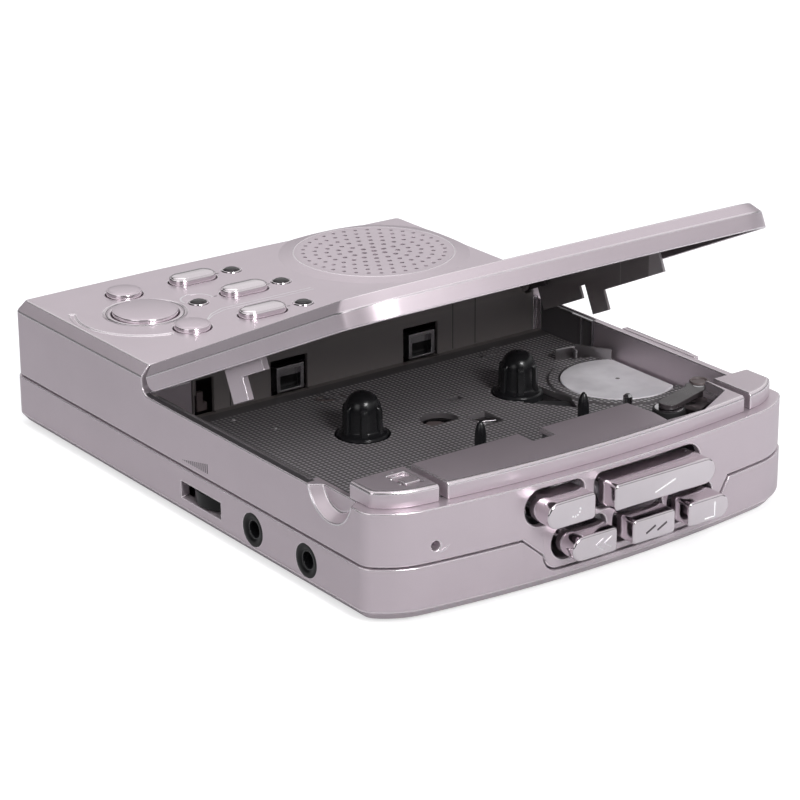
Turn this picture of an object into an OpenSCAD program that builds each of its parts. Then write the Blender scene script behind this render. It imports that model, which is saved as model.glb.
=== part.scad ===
// Flat desktop cassette recorder with its lid raised, built from separate working pieces.
// The layout's origin is midway between the two reel hubs, on the deck floor.

/* [Case] */
// Width of the case
case_w = 110.1; // [109.2:0.1:111.2]
// Length of the case from bow to bow
case_l = 148.3; // [147.6:0.1:150.5]
// How far the case's middle lies left of the hubs
mid_left = 1.75; // [1.5:0.05:2]
// Front of the case ahead of the hub line
front_l = 59.1; // [58.8:0.1:59.6]
// Depth of the bow across the front
front_bow = 5; // [4.6:0.1:5.4]
// Depth of the bow across the back
back_bow = 1; // [0.8:0.1:1.4]
// Radius where a side starts into its front corner
front_corner_r = 4; // [3.8:0.1:4.4]
// Radius that carries a front corner into the bow
front_turn_r = 17; // [16:0.5:18]
// Radius of the back corners
back_corner_r = 3; // [2.8:0.1:3.6]
// Thickness of the case walls
wall = 1.8; // [1.6:0.05:1.9]
// Thickness of the case floor
floor_t = 1.8; // [1.6:0.05:2]
// Deck floor above the underside of the case
base_h = 15.4; // [15.2:0.1:16]
// Height of the rubber feet
foot_h = 0.8; // [0.5:0.1:1.5]
// Radius of the rubber feet
foot_r = 2.8; // [2.2:0.1:2.8]
// Joint line of the two shells below the deck floor
seam_below = 4.1; // [3.9:0.1:4.3]
// Width of the groove at the joint line
seam_gap = 0.3; // [0.2:0.05:0.5]
// How far the lower shell stands proud of the upper one
proud = 0.3; // [0:0.05:0.3]
// Inset of the rounded underside
base_inset = 1.4; // [0.8:0.1:1.8]
// Height of the rounding at the underside
base_round = 2; // [1:0.1:2.2]
// Rim of the deck well above the deck floor
rim_z = 7.5; // [7.4:0.05:7.6]
// Top of the control panel above the deck floor
top_z = 13.8; // [13.6:0.1:14.2]
// Inset of the edge chamfer round the top
chamfer_in = 2.14; // [1.8:0.02:2.3]
// Height of the edge chamfer
chamfer_h = 2.4; // [2:0.1:2.6]
// Thickness of the control panel plate
plate_t = 2; // [1.8:0.05:2.1]
// Front of the control panel behind the hub line
panel_y = 31.8; // [31.8:0.1:32.2]
// Radius where the panel's side meets the rim
panel_fillet = 2.3; // [1.8:0.1:2.4]
// Height of the tongue that joins the shells
tongue_h = 1; // [0.8:0.1:1.4]
// Middle of the thumb scoop ahead of the hub line
scoop_front = 38.5; // [37.5:0.1:39]
// Height of the scoop's middle
scoop_z = 9.2; // [9:0.1:9.4]
// Radius of the thumb scoop
scoop_r = 7.5; // [6.8:0.1:7.6]
// Depth of the thumb scoop
scoop_d = 2.5; // [2:0.1:2.5]
// Radius of the screw posts
post_r = 3; // [2.8:0.1:3]
// Radius of the case screws
screw_r = 1.25; // [1.1:0.05:1.4]
// Radius of the screw heads
screw_head_r = 2.3; // [2.1:0.1:2.4]

/* [Deck] */
// Distance between the two hubs
hub_gap = 42.5; // [42.3:0.1:42.7]
// Back wall of the deck behind the hub line
back_wall_y = 30.9; // [30.9:0.05:31]
// Thickness of the deck tray
tray_t = 1.4; // [1.2:0.05:1.5]
// Thickness of the tray's upright walls
tray_wall = 0.8; // [0.6:0.05:0.8]
// Thickness of the steel chassis
chassis_t = 1; // [0.8:0.05:1]
// Front edge of the head platform's back ahead of the hub line
platform_back = 42.1; // [42:0.1:42.4]
// Radius of a spindle over its fins
spindle_r = 4.4; // [4.2:0.05:4.5]
// Height of a spindle
spindle_h = 9.4; // [9:0.1:9.8]
// Radius of a spindle's shaft
spindle_shaft_r = 1.5; // [1.2:0.05:1.8]
// Radius of a spindle's lower wheel
reel_wheel_r = 9; // [8.4:0.1:9.4]
// Distance between the two guide pins
pin_gap = 27.6; // [27:0.1:28.4]
// Guide pins ahead of the hub line
pin_front = 31.5; // [31.3:0.1:31.9]
// Radius of a guide pin
pin_r = 1.25; // [1:0.05:1.3]
// Height of a guide pin
pin_h = 11; // [10:0.1:11]
// Capstan right of the hubs' middle
capstan_x = 25.8; // [25.6:0.1:26]
// Capstan ahead of the hub line
capstan_front = 31.9; // [31.8:0.1:32.1]
// Radius of the capstan
capstan_r = 1; // [0.9:0.05:1.1]
// Height of the capstan
capstan_h = 8; // [7.6:0.1:8.6]
// Radius of the flywheel
flywheel_r = 13.5; // [12.5:0.1:13.5]
// Thickness of the flywheel
flywheel_t = 4; // [3.6:0.1:4]
// Motor right of the hubs' middle
motor_x = 43.4; // [43.3:0.1:43.6]
// Motor ahead of the hub line
motor_front = 8.1; // [8:0.1:8.4]
// Radius of the motor
motor_r = 12.95; // [12.8:0.05:13.1]
// Top of the motor and of the collar round it above the deck floor
motor_top = 0.55; // [0.45:0.05:0.55]
// Height of the motor
motor_h = 9.25; // [9:0.05:9.3]
// Radius of the raised collar round the motor
collar_r = 16; // [15.6:0.1:16.2]
// Gap round the motor in its collar
motor_gap = 0.45; // [0.3:0.05:0.5]
// Flat side of the motor right of the hubs' middle
motor_flat_x = 50.7; // [50.3:0.1:50.9]
// Radius of the motor pulley
pulley_r = 3.2; // [2.6:0.1:3.4]
// Thickness of the belt
belt_t = 0.6; // [0.4:0.05:0.8]
// Idler wheel left of the hubs' middle
idler_left = 3; // [2.5:0.1:3.5]
// Idler wheel ahead of the hub line
idler_front = 9; // [8.5:0.1:9.5]
// Radius of the idler wheel
idler_r = 7.5; // [7:0.1:7.8]
// Pivot of the pinch arm right of the hubs' middle
arm_pivot_x = 41.5; // [41.4:0.1:41.6]
// Pivot of the pinch arm ahead of the hub line
arm_pivot_front = 37; // [36.9:0.1:37.1]
// Distance from the arm's pivot to the roller
arm_l = 12.2; // [12.1:0.05:12.3]
// Angle of the arm at rest, towards the front
arm_angle = 17; // [16.5:0.5:17.5]
// Radius of the pinch roller
roller_r = 3.5; // [3.3:0.05:3.5]
// Length of the pinch roller
roller_h = 4.3; // [4:0.1:4.4]
// Thickness of the pinch arm's two plates
arm_t = 1.1; // [0.9:0.05:1.2]
// Left end of a leaf spring window left of the hubs' middle
spring_left_x = 24.2; // [24:0.1:24.4]
// Right spring window's left end right of the hubs' middle
spring_right_x = 12.2; // [12:0.1:12.4]
// Width of a leaf spring window
spring_w = 9.8; // [9.6:0.1:10]
// Height of the windows in the back wall
window_h = 8; // [7.6:0.1:8]
// Left end of the hinge window left of the hubs' middle
hinge_window_x = 44.2; // [44:0.1:44.4]
// Width of the hinge window
hinge_window_w = 5; // [4.8:0.1:5.2]
// Silver end of the back wall left of the hubs' middle
back_silver_x = 44.6; // [44.6:0.1:45]

/* [Lid] */
// Angle of the raised lid
lid_angle = 25.4; // [24:0.2:26]
// Hinge line behind the hub line
hinge_y = 31.13; // [31.1:0.01:31.2]
// Hinge line above the deck floor
hinge_z = 11.84; // [11.8:0.02:11.9]
// Lower edge of the closed lid above the deck floor
lid_z = 7.83; // [7.8:0.01:7.95]
// Rear end of the closed lid behind the hub line
lid_rear = 30.4; // [30.2:0.05:30.4]
// Inset of the lid from the case outline
lid_in = 0.15; // [0.05:0.05:0.15]
// Thickness of the lid's skirt
lid_wall = 1.2; // [1.1:0.05:1.2]
// Thickness of the lid's top
lid_top_t = 1.2; // [1:0.05:1.2]
// Rounding at the rear end of the lid's skirt
lid_round = 2.5; // [2:0.1:2.8]
// Thickness of the lid's liner
liner_t = 0.3; // [0.25:0.05:0.3]
// Thickness of the liner's edge
liner_edge = 0.6; // [0.5:0.05:0.6]
// Radius of a hinge ear
ear_r = 1.9; // [1.7:0.05:1.9]
// Radius of the hinge pins
hinge_pin_r = 0.9; // [0.8:0.05:1]
// Thickness of the hinge ears
ear_t = 1.1; // [1:0.05:1.2]
// Thickness of the left arm
left_arm_t = 1.5; // [1.3:0.05:1.5]
// Thickness of the right arm
right_arm_t = 0.7; // [0.6:0.05:0.7]
// Length of the left arm's strip
left_strip_l = 15.4; // [14.8:0.1:16]
// Length of the right arm's strip
right_strip_l = 28.7; // [28:0.1:29.5]
// Width of the left arm's leg
left_leg_w = 6.3; // [5.8:0.1:6.8]
// Width of the right arm's leg
right_leg_w = 6.2; // [5.8:0.1:6.4]
// Front of the right arm's rear plate behind the hub line
rear_plate_y = 14.6; // [14.3:0.1:15]
// Lower edge of the right arm's rear plate above the deck floor
rear_plate_z = 4.5; // [4.2:0.1:5]
// Lower edge of the arms' strips above the deck floor
strip_z = 5.5; // [5.2:0.1:5.8]

/* [Head platform] */
// Top of the platform above the deck floor
platform_z = 11.2; // [11:0.05:11.3]
// Inset of the platform from the case outline
platform_in = 2.3; // [2.3:0.05:2.5]
// Chamfer of the platform's upper edge
platform_round = 0.5; // [0.4:0.05:0.6]
// Thickness of the head cover's top
cover_t = 1.2; // [1:0.05:1.3]
// Left end of the head cover left of the hubs' middle
cover_left = 39.6; // [39.3:0.1:39.8]
// Right end of the head cover right of the hubs' middle
cover_right = 39.1; // [38.9:0.1:39.3]
// Width of the grooves beside the head cover
groove_w = 1.8; // [1.6:0.1:2]
// Width of the notch in the head cover
notch_w = 5.3; // [4.9:0.1:5.6]
// Left end of the notch left of the hubs' middle
notch_left = 12.3; // [12:0.1:12.6]
// Depth of the notch
notch_d = 4.9; // [4.5:0.1:5.1]
// Thickness of the front ledge
ledge_t = 1.4; // [1.2:0.05:1.4]
// Length of the recess of the corner switch
switch_slot_l = 6.2; // [6:0.1:6.6]
// Width of the corner switch's knob
switch_knob_w = 3.7; // [3.4:0.1:3.9]
// Length of the corner switch's knob
switch_knob_l = 3; // [2.6:0.1:3.1]

/* [Keys] */
// How far the keys stand out of the front
key_out = 5.1; // [4.8:0.1:5.2]
// Travel of the keys
key_travel = 4.5; // [4.2:0.1:4.5]
// Gap round a key in the case
key_gap = 1.2; // [0.8:0.1:1.2]
// Lower edge of the upper row below the deck floor
upper_row_below = 0.7; // [0.6:0.05:0.8]
// Height of the upper row's keys
upper_row_h = 5.7; // [5.5:0.05:5.7]
// Lower edge of the lower row below the deck floor
lower_row_below = 9.3; // [9.2:0.05:9.4]
// Height of the lower row's keys
lower_row_h = 5.3; // [5.1:0.05:5.4]
// Left end of the record key left of the hubs' middle
record_left = 22.2; // [22:0.1:22.4]
// Width of the record key
record_w = 12.3; // [12:0.1:12.6]
// Left end of the play key left of the hubs' middle
play_left = 4.9; // [4.7:0.1:5.1]
// Width of the play key
play_w = 27; // [26.6:0.1:27.4]
// Left end of the rewind key left of the hubs' middle
rewind_left = 15.6; // [15.4:0.1:15.8]
// Width of the rewind key
rewind_w = 11.5; // [11.2:0.1:11.8]
// Left end of the forward key right of the hubs' middle
forward_x = 0.1; // [0:0.1:0.3]
// Width of the forward key
forward_w = 11.3; // [11:0.1:11.5]
// Left end of the stop key right of the hubs' middle
stop_x = 15.1; // [14.9:0.1:15.3]
// Width of the stop key
stop_w = 11; // [10.7:0.1:11.2]
// Radius of the keys' small corners
key_corner_r = 0.9; // [0.6:0.05:1.2]
// Thickness of the rail that guides the keys
rail_t = 1; // [0.8:0.05:1]

/* [Panel controls] */
// Round button left of the hubs' middle
dial_left = 37.3; // [37:0.1:37.6]
// Round button behind the hub line
dial_y = 61.8; // [61.5:0.1:62.1]
// Radius of the round button
dial_r = 7.5; // [7.2:0.1:7.8]
// Height of the round button over the panel
dial_h = 0.8; // [0.6:0.05:1]
// Middle radius of the groove round the button
dial_groove_r = 9.1; // [9:0.1:9.4]
// Radius of the small buttons
small_r = 4.1; // [3.8:0.1:4.3]
// Height of the small buttons over the panel
small_h = 1; // [0.8:0.05:1.2]
// Length of the pill buttons
pill_l = 11.8; // [11.4:0.1:12.2]
// Width of the pill buttons
pill_w = 6; // [5.7:0.1:6.2]
// Height of the pill buttons over the panel
pill_h = 1.2; // [1:0.05:1.4]
// Distance from the round button to the next row of buttons
button_pitch = 15; // [14.8:0.1:15.2]
// Radius of the lamp lenses
lens_r = 2.2; // [2:0.05:2.3]
// Travel of the panel buttons
button_travel = 0.5; // [0.4:0.05:0.5]
// Top of the circuit board above the deck floor
board_z = 6.8; // [6.6:0.1:6.9]
// Thickness of the circuit boards
board_t = 1.4; // [1.2:0.05:1.4]
// Depth of the panel's grooves
groove_d = 0.4; // [0.3:0.05:0.5]

/* [Speaker] */
// Speaker right of the hubs' middle
speaker_x = 29.5; // [29.3:0.1:29.6]
// Speaker behind the hub line
speaker_y = 66; // [65.8:0.1:66.1]
// Radius of the grille's flat top
grille_r = 19.5; // [19:0.1:19.8]
// Radius of the grille's foot
grille_foot_r = 23; // [22.5:0.1:23.2]
// Height of the grille over the panel
grille_h = 0.6; // [0.4:0.05:0.8]
// Distance between the rings of holes
hole_pitch = 2.85; // [2.75:0.05:2.95]
// Radius of the middle holes
hole_r = 0.75; // [0.6:0.05:0.85]
// Radius of the speaker's magnet
magnet_r = 12; // [11:0.1:12.5]
// Radius of the speaker's frame
basket_r = 20.2; // [19.8:0.1:20.4]

/* [Left side] */
// Volume wheel's middle behind the hub line
wheel_y = 8.7; // [8.5:0.1:9]
// Radius of the volume wheel
wheel_r = 8; // [7.8:0.05:8]
// Thickness of the volume wheel
wheel_t = 3.2; // [2.8:0.1:3.2]
// Window of the volume wheel, length
wheel_window_l = 15.4; // [14.8:0.1:15.6]
// Window of the volume wheel, height
wheel_window_h = 3.8; // [3.8:0.05:4]
// Middle of the jacks and the wheel below the deck floor
jack_below = 9.3; // [9.2:0.05:9.4]
// Rear jack ahead of the hub line
jack_rear_front = 11.1; // [10.9:0.1:11.3]
// Front jack ahead of the hub line
jack_front_front = 30.5; // [30.3:0.1:30.7]
// Outer radius of a jack's collar
jack_r = 3.5; // [3.3:0.05:3.6]
// Radius of a jack's bore
jack_bore_r = 1.8; // [1.78:0.01:1.85]
// Depth of a jack's bore
jack_depth = 12; // [11.5:0.1:12]

/* [Right side] */
// Front end of the sliding knob ahead of the hub line
slider_front = 18.3; // [18.1:0.1:18.5]
// Length of the sliding knob
slider_l = 16.4; // [16:0.1:16.8]
// Travel of the sliding knob
slider_travel = 3.4; // [3:0.1:3.4]
// How far the knob stands out of the wall
slider_out = 1.9; // [1.8:0.05:2.1]
// How far the track stands out of the wall
track_out = 1.2; // [1.1:0.05:1.3]

/* [Battery bay] */
// Left end of the bay left of the hubs' middle
bay_left = 46; // [45.8:0.1:46]
// Length of the bay
bay_l = 54; // [53.8:0.1:54.2]
// Front of the bay behind the hub line
bay_y = 46; // [45.8:0.1:46.2]
// Width of the bay, for two cells side by side
bay_w = 30; // [29.6:0.1:30.2]
// Height of the bay
bay_h = 14.8; // [14.6:0.1:15]
// Wall of the bay
bay_wall = 1.2; // [1:0.05:1.2]
// Thickness of the battery door
door_t = 1.5; // [1.4:0.05:1.5]
// Width of the tongues that hold the door
door_tongue = 0.8; // [0.6:0.05:0.9]

/* [Fits] */
// Side gap between pieces that are fixed together
fit_gap = 0.1; // [0.05:0.01:0.12]
// Running clearance of shafts in bores
run_gap = 0.05; // [0.03:0.01:0.08]
// Gap between pieces that move past each other
move_gap = 0.3; // [0.25:0.01:0.32]

/* [Hidden] */
overrun = 1;
skin = 0.1;
bow_steps = 16;
corner_steps = 8;
turn_angle = 45;
round_steps = 48;
hub_x = hub_gap / 2;
half_w = case_w / 2;
mid_x = -mid_left;
left_x = mid_x - half_w;
right_x = mid_x + half_w;
front_y = -front_l;
back_y = case_l - front_l;
base_z = -base_h;
table_z = base_z - foot_h;
floor_z = base_z + floor_t;
seam_z = -seam_below;
seam_low = seam_z - seam_gap / 2;
seam_high = seam_z + seam_gap / 2;
chamfer_z = top_z - chamfer_h;
plate_z = top_z - plate_t;
in_left = left_x + wall;
in_right = right_x - wall;
tray_low = -tray_t;
chassis_low = tray_low - chassis_t;
platform_y = -platform_back;
pulley_high = motor_top - motor_h - 2 * fit_gap;
belt_h = floor_t;
flywheel_low = pulley_high - belt_h;
flywheel_high = flywheel_low + flywheel_t;
motor_y = -motor_front;
capstan_y = -capstan_front;
pin_y = -pin_front;
reel_high = chassis_low - move_gap;
reel_low = reel_high - wall;

// Front and back bows with the corners that touch them
front_r = (half_w * half_w + front_bow * front_bow) / (2 * front_bow);
front_mid_y = front_y + front_r;
back_r = (half_w * half_w + back_bow * back_bow) / (2 * back_bow);
back_mid_y = back_y - back_r;

// Bounds of the whole object, which set where the origin of the finished part lies
bound_left = left_x - proud;
bound_right = right_x + slider_out;
bound_front = front_y - key_out;
bound_back = back_y + proud;
seat_x = -(bound_left + bound_right) / 2;
seat_y = -(bound_front + bound_back) / 2;

function arc(c, r, a0, a1, n) = [for (i = [0 : n]) c + r * [cos(a0 + (a1 - a0) * i / n), sin(a0 + (a1 - a0) * i / n)]];
function arc_inside(c, r, a0, a1, n) =
  [for (i = [1 : n - 1]) c + r * [cos(a0 + (a1 - a0) * i / n), sin(a0 + (a1 - a0) * i / n)]];

function arc_after(c, r, a0, a1, n) = [for (i = [1 : n]) c + r * [cos(a0 + (a1 - a0) * i / n), sin(a0 + (a1 - a0) * i / n)]];

function back_turn(r) = back_mid_y + sqrt(pow(back_r - r, 2) - pow(half_w - r, 2));

// Outline of the case seen from above, inset by d
function ring(d) = let (
  cr = max(front_corner_r, d + skin),
  reach = front_turn_r - cr,
  tx = half_w - cr - reach * cos(turn_angle),
  ty = front_mid_y - sqrt(pow(front_r - front_turn_r, 2) - pow(tx, 2)),
  cy = ty - reach * sin(turn_angle),
  fa = atan2(ty - front_mid_y, tx),
  br = max(back_corner_r, d + skin),
  ba = atan2(back_turn(br) - back_mid_y, half_w - br)) concat(
  arc_inside([mid_x, front_mid_y], front_r - d, -180 - fa, fa, bow_steps),
  arc([mid_x + tx, ty], front_turn_r - d, fa, -turn_angle, corner_steps),
  arc_after([mid_x + half_w - cr, cy], cr - d, -turn_angle, 0, corner_steps),
  arc([mid_x + half_w - br, back_turn(br)], br - d, 0, ba, corner_steps),
  arc_inside([mid_x, back_mid_y], back_r - d, ba, 180 - ba, bow_steps),
  arc([mid_x - half_w + br, back_turn(br)], br - d, 180 - ba, 180, corner_steps),
  arc([mid_x - half_w + cr, cy], cr - d, 180, 180 + turn_angle, corner_steps),
  arc_after([mid_x - tx, ty], front_turn_r - d, 180 + turn_angle, 180 - fa, corner_steps));

function front_at(x, d) = front_mid_y - sqrt(pow(front_r - d, 2) - pow(x - mid_x, 2));

module seat() {
  translate([seat_x, seat_y, -table_z]) children();
}

module slab(d, z0, z1) {
  translate([0, 0, z0]) linear_extrude(z1 - z0) polygon(ring(d));
}

module block(x0, x1, y0, y1, z0, z1) {
  translate([x0, y0, z0]) cube([x1 - x0, y1 - y0, z1 - z0]);
}

module rod(x, y, r, z0, z1) {
  translate([x, y, z0]) cylinder(r = r, h = z1 - z0, $fn = round_steps);
}

module rod_x(y, z, r, x0, x1) {
  translate([x0, y, z]) rotate([0, 90, 0]) cylinder(r = r, h = x1 - x0, $fn = round_steps);
}

module rod_y(x, z, r, y0, y1) {
  translate([x, y1, z]) rotate([90, 0, 0]) cylinder(r = r, h = y1 - y0, $fn = round_steps);
}

// Everything behind y0, wide enough to cut the whole case
module behind(y0, z0, z1) {
  block(left_x - overrun, right_x + overrun, y0, back_y + overrun, z0, z1);
}

module ahead(y0, z0, z1) {
  block(left_x - overrun, right_x + overrun, front_y - overrun, y0, z0, z1);
}

screw_front_gap = 1.4;
screw_front_y = platform_y - post_r - screw_front_gap;
screw_places = [
  [in_left + 1.5 * post_r, screw_front_y],
  [in_right - 1.5 * post_r, screw_front_y],
  [in_left + 1.4 * post_r, back_y - 1.9 * post_r],
  [in_right - 1.4 * post_r, back_y - 1.9 * post_r]];
foot_places = [
  [in_left + 1.35 * foot_r, -pin_front - foot_r],
  [in_right - 1.35 * foot_r, -pin_front - foot_r],
  [in_left + 1.35 * foot_r, bay_y + bay_w * 0.8],
  [in_right - 1.35 * foot_r, bay_y + bay_w * 0.8]];
post_meet_z = seam_z - post_r / 2;

// Dip of the joint line round the keys
dip_top_left = -24;
dip_top_right = 32;
dip_low = -12;
dip_corner_r = 3.6;
dip_left = -18.8;
dip_right = 29;

module dip_prism(grow, high) {
  translate([0, front_y + 3 * front_bow, 0]) rotate([90, 0, 0]) linear_extrude(4 * front_bow) polygon(concat(
    arc([dip_left + dip_corner_r, dip_low + dip_corner_r], dip_corner_r + grow, 180, 270, corner_steps),
    arc([dip_right - dip_corner_r, dip_low + dip_corner_r], dip_corner_r + grow, 270, 360, corner_steps),
    [[dip_top_right + grow, seam_high], [dip_top_right + grow, high]],
    [[dip_top_left - grow, high], [dip_top_left - grow, seam_high]]));
}

// The five keys: left end, lower edge, width, height, share of the height that rounds the left and right ends
round_share = 0.5;
square_share = key_corner_r / lower_row_h;
key_rows = [
  [-record_left, -upper_row_below, record_w, upper_row_h, round_share, square_share],
  [-play_left, -upper_row_below, play_w, upper_row_h, square_share, round_share],
  [-rewind_left, -lower_row_below, rewind_w, lower_row_h, round_share, square_share],
  [forward_x, -lower_row_below, forward_w, lower_row_h, square_share, square_share],
  [stop_x, -lower_row_below, stop_w, lower_row_h, square_share, round_share]];

module key_outline(k, grow) {
  rl = k[3] * k[4];
  rr = k[3] * k[5];
  x0 = k[0];
  x1 = k[0] + k[2];
  z0 = k[1];
  z1 = k[1] + k[3];
  polygon(concat(
    arc([x0 + rl, z0 + rl], rl + grow, 180, 270, corner_steps),
    arc([x1 - rr, z0 + rr], rr + grow, 270, 360, corner_steps),
    arc([x1 - rr, z1 - rr], rr + grow, 0, 90, corner_steps),
    arc([x0 + rl, z1 - rl], rl + grow, 90, 180, corner_steps)));
}

module along_y(y0, y1) {
  translate([0, y1, 0]) rotate([90, 0, 0]) linear_extrude(y1 - y0) children();
}

key_front_y = front_y - key_out;
key_back_y = front_y + 1.5 * wall;
rail_y = key_back_y + key_travel + move_gap;
rail_back_y = rail_y + rail_t;
shank_end_y = rail_back_y + fit_gap * 4;
shank_share = 0.56;
shank_w_share = 0.45;

module key(k) {
  along_y(key_front_y, key_back_y) key_outline(k, 0);
  block(shank_x(k), shank_x(k) + k[2] * shank_w_share, key_back_y, shank_end_y, shank_z(k), shank_z(k) + k[3] * shank_share);
}

function shank_x(k) = k[0] + k[2] * (1 - shank_w_share) / 2;
function shank_z(k) = k[1] + k[3] * (1 - shank_share) / 2;

mic_x = -43.8;
mic_z = -0.6;
mic_hole_r = 1;
mic_r = 3;
mic_l = 4;
mic_wall = 0.9;
mic_front_y = front_at(mic_x, 0) + wall + mic_wall;

module top_case() {
  color("silver") difference() {
    union() {
      slab(0, seam_high, rim_z);
      hull() {
        intersection() {
          slab(0, rim_z - skin, chamfer_z);
          behind(panel_y, rim_z - skin, top_z);
        }
        intersection() {
          slab(chamfer_in, top_z - skin, top_z);
          behind(panel_y, rim_z - skin, top_z);
        }
      }
      difference() {
        intersection() {
          slab(0, rim_z - skin, rim_z + panel_fillet);
          block(left_x, right_x, panel_y - panel_fillet, panel_y + skin, rim_z - skin, rim_z + panel_fillet);
        }
        rod_x(panel_y - panel_fillet, rim_z + panel_fillet, panel_fillet, left_x - overrun, right_x + overrun);
      }
      intersection() {
        slab(0, dip_low, seam_high + skin);
        dip_prism(0, seam_high + 2 * skin);
      }
    }
    // Inside of the case and of the panel
    difference() {
      slab(wall, dip_low - overrun, plate_z);
      top_inside();
    }
    // Joint with the lower shell
    difference() {
      slab(wall / 2, seam_high - overrun, seam_high + tongue_h + fit_gap);
      dip_prism(2 * wall, rim_z);
      top_posts();
    }
    for (k = key_rows) along_y(front_y - overrun, front_y + 3 * wall) key_outline(k, key_gap);
    rod_y(mic_x, mic_z, mic_hole_r, front_y - overrun, mic_front_y + overrun);
    rod_y(mic_x, mic_z, mic_r + fit_gap, mic_front_y, mic_front_y + 2 * mic_l);
    // Thumb scoop in the left rim
    translate([left_x - skin, -scoop_front, scoop_z]) rotate([0, 90, 0])
      cylinder(r1 = scoop_r + skin, r2 = scoop_r - scoop_d * 0.7, h = scoop_d + skin, $fn = round_steps);
    screw_bores(post_meet_z - overrun, rim_z - ledge_t - wall);
    // Panel openings
    rod(-dial_left, dial_y, dial_r + move_gap, plate_z - overrun, top_z + overrun);
    for (p = small_places) rod(p.x, p.y, small_r + move_gap, plate_z - overrun, top_z + overrun);
    for (p = pill_places) translate([p.x, p.y, plate_z - overrun]) linear_extrude(plate_t + 2 * overrun) pill(move_gap);
    for (p = lens_places) rod(p.x, p.y, lens_r + fit_gap, plate_z - overrun, top_z + overrun);
    rod(speaker_x, speaker_y, grille_r + fit_gap, plate_z - overrun, top_z + overrun);
    panel_grooves();
    // Hinge pockets in the front edge of the panel
    hinge_pockets();
    // Recess that takes the tray's right side wall
    block(in_right - skin, in_right + tray_wall + fit_gap, side_wall_y - fit_gap, side_wall_back + fit_gap,
      tray_low - fit_gap, rim_z + overrun);
    // Slot for the side slider's stem
    block(in_right + wall * 0.4, right_x + overrun, slider_stem_y - move_gap,
      slider_stem_y + slider_stem_l + slider_travel + move_gap,
      slider_stem_z - move_gap, slider_stem_z + slider_stem_h + move_gap);
  }
}

// What stays inside the upper shell
module top_inside() {
  ledge_y = front_y + front_bow + wall;
  // Front ledge and its corners
  ahead(ledge_y, rim_z - ledge_t, rim_z);
  for (x = [[in_left - wall, -cover_left], [cover_right, in_right + wall]])
    block(x[0], x[1], ledge_y - skin, platform_y - fit_gap, rim_z - ledge_t, rim_z);
  // Backing of the thumb scoop
  block(in_left - skin, in_left + 1.2 * wall, -scoop_front - scoop_r - wall, -scoop_front + scoop_r + wall, 0, rim_z);
  // Ends of the panel's front wall
  block(in_left - skin, -back_silver_x, back_wall_y, back_wall_y + wall, tray_low, plate_z);
  block(right_ear_x + 2 * ear_t, in_right + skin, back_wall_y, back_wall_y + wall, tray_low, plate_z);
  top_posts();
  // Posts that carry the circuit board
  for (p = board_posts) rod(p.x, p.y, board_post_r, board_z, plate_z);
  // Cup that holds the microphone
  rod_y(mic_x, mic_z, mic_r + mic_wall, mic_front_y - mic_wall - wall, mic_front_y + mic_l * 0.7);
}

module top_posts() {
  for (i = [0 : 1]) rod(screw_places[i].x, screw_places[i].y, post_r, post_meet_z, rim_z - skin);
  for (i = [2 : 3]) rod(screw_places[i].x, screw_places[i].y, post_r, post_meet_z, plate_z + skin);
}

module screw_bores(z0, z1) {
  for (p = screw_places) rod(p.x, p.y, screw_r + fit_gap / 2, z0, z1);
}

module case_screws() {
  color("dimgray") for (p = screw_places) {
    rod(p.x, p.y, screw_r, base_z + screw_sink, rim_z - ledge_t - 2 * wall);
    rod(p.x, p.y, screw_head_r, base_z + screw_sink - wall, base_z + screw_sink);
  }
}

screw_sink = 2 * wall;

module lower_outside() {
  hull() {
    slab(-proud, base_z + base_round, seam_low);
    slab(base_inset, base_z, base_z + skin);
  }
}

module bottom_case() {
  color("silver") difference() {
    union() {
      difference() {
        lower_outside();
        slab(wall, floor_z, seam_low + overrun);
      }
      difference() {
        slab(wall / 2 + fit_gap, seam_low - 2 * wall, seam_high + tongue_h);
        slab(wall, seam_low - 3 * wall, seam_high + 2 * tongue_h);
        dip_prism(2 * wall + fit_gap, seam_high + 3 * tongue_h);
      }
      for (p = screw_places) rod(p.x, p.y, post_r, floor_z - skin, post_meet_z);
      rod(capstan_x, capstan_y, 3 * capstan_r, floor_z - skin, capstan_low - fit_gap);
      for (a = motor_post_angles) rod(motor_x + motor_r * 0.72 * cos(a), motor_y + motor_r * 0.72 * sin(a),
        post_r * 0.6, floor_z - skin, motor_top - motor_h);
    }
    dip_prism(seam_gap, seam_high + 3 * tongue_h);
    screw_bores(base_z + screw_sink - overrun, post_meet_z + overrun);
    for (p = screw_places) rod(p.x, p.y, screw_head_r + fit_gap, base_z - overrun, base_z + screw_sink);
    // Window of the volume wheel and holes of the jacks
    block(left_x - proud - overrun, in_left + skin, wheel_y - wheel_window_l / 2, wheel_y + wheel_window_l / 2,
      -jack_below - wheel_window_h / 2, -jack_below + wheel_window_h / 2);
    for (y = jack_places) rod_x(y, -jack_below, jack_r + fit_gap, left_x - proud - overrun, in_left + overrun);
    // Opening of the battery door and the grooves of its tongues
    block(door_left - move_gap, door_right + move_gap, door_y - move_gap, back_y + overrun, base_z - overrun, floor_z);
    block(door_left - door_tongue - move_gap, door_right + door_tongue + move_gap, door_y - move_gap,
      back_y + overrun, base_z + floor_t * 0.4, floor_z);
  }
}

motor_post_angles = [72, 165];
jack_places = [-jack_rear_front, -jack_front_front];
capstan_low = flywheel_low - wall;

module rubber_feet() {
  color("dimgray") for (p = foot_places) rod(p.x, p.y, foot_r, table_z, base_z);
}

door_left = -bay_left - bay_wall;
door_right = -bay_left + bay_l + bay_wall;
door_y = bay_y - bay_wall - move_gap;

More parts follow.
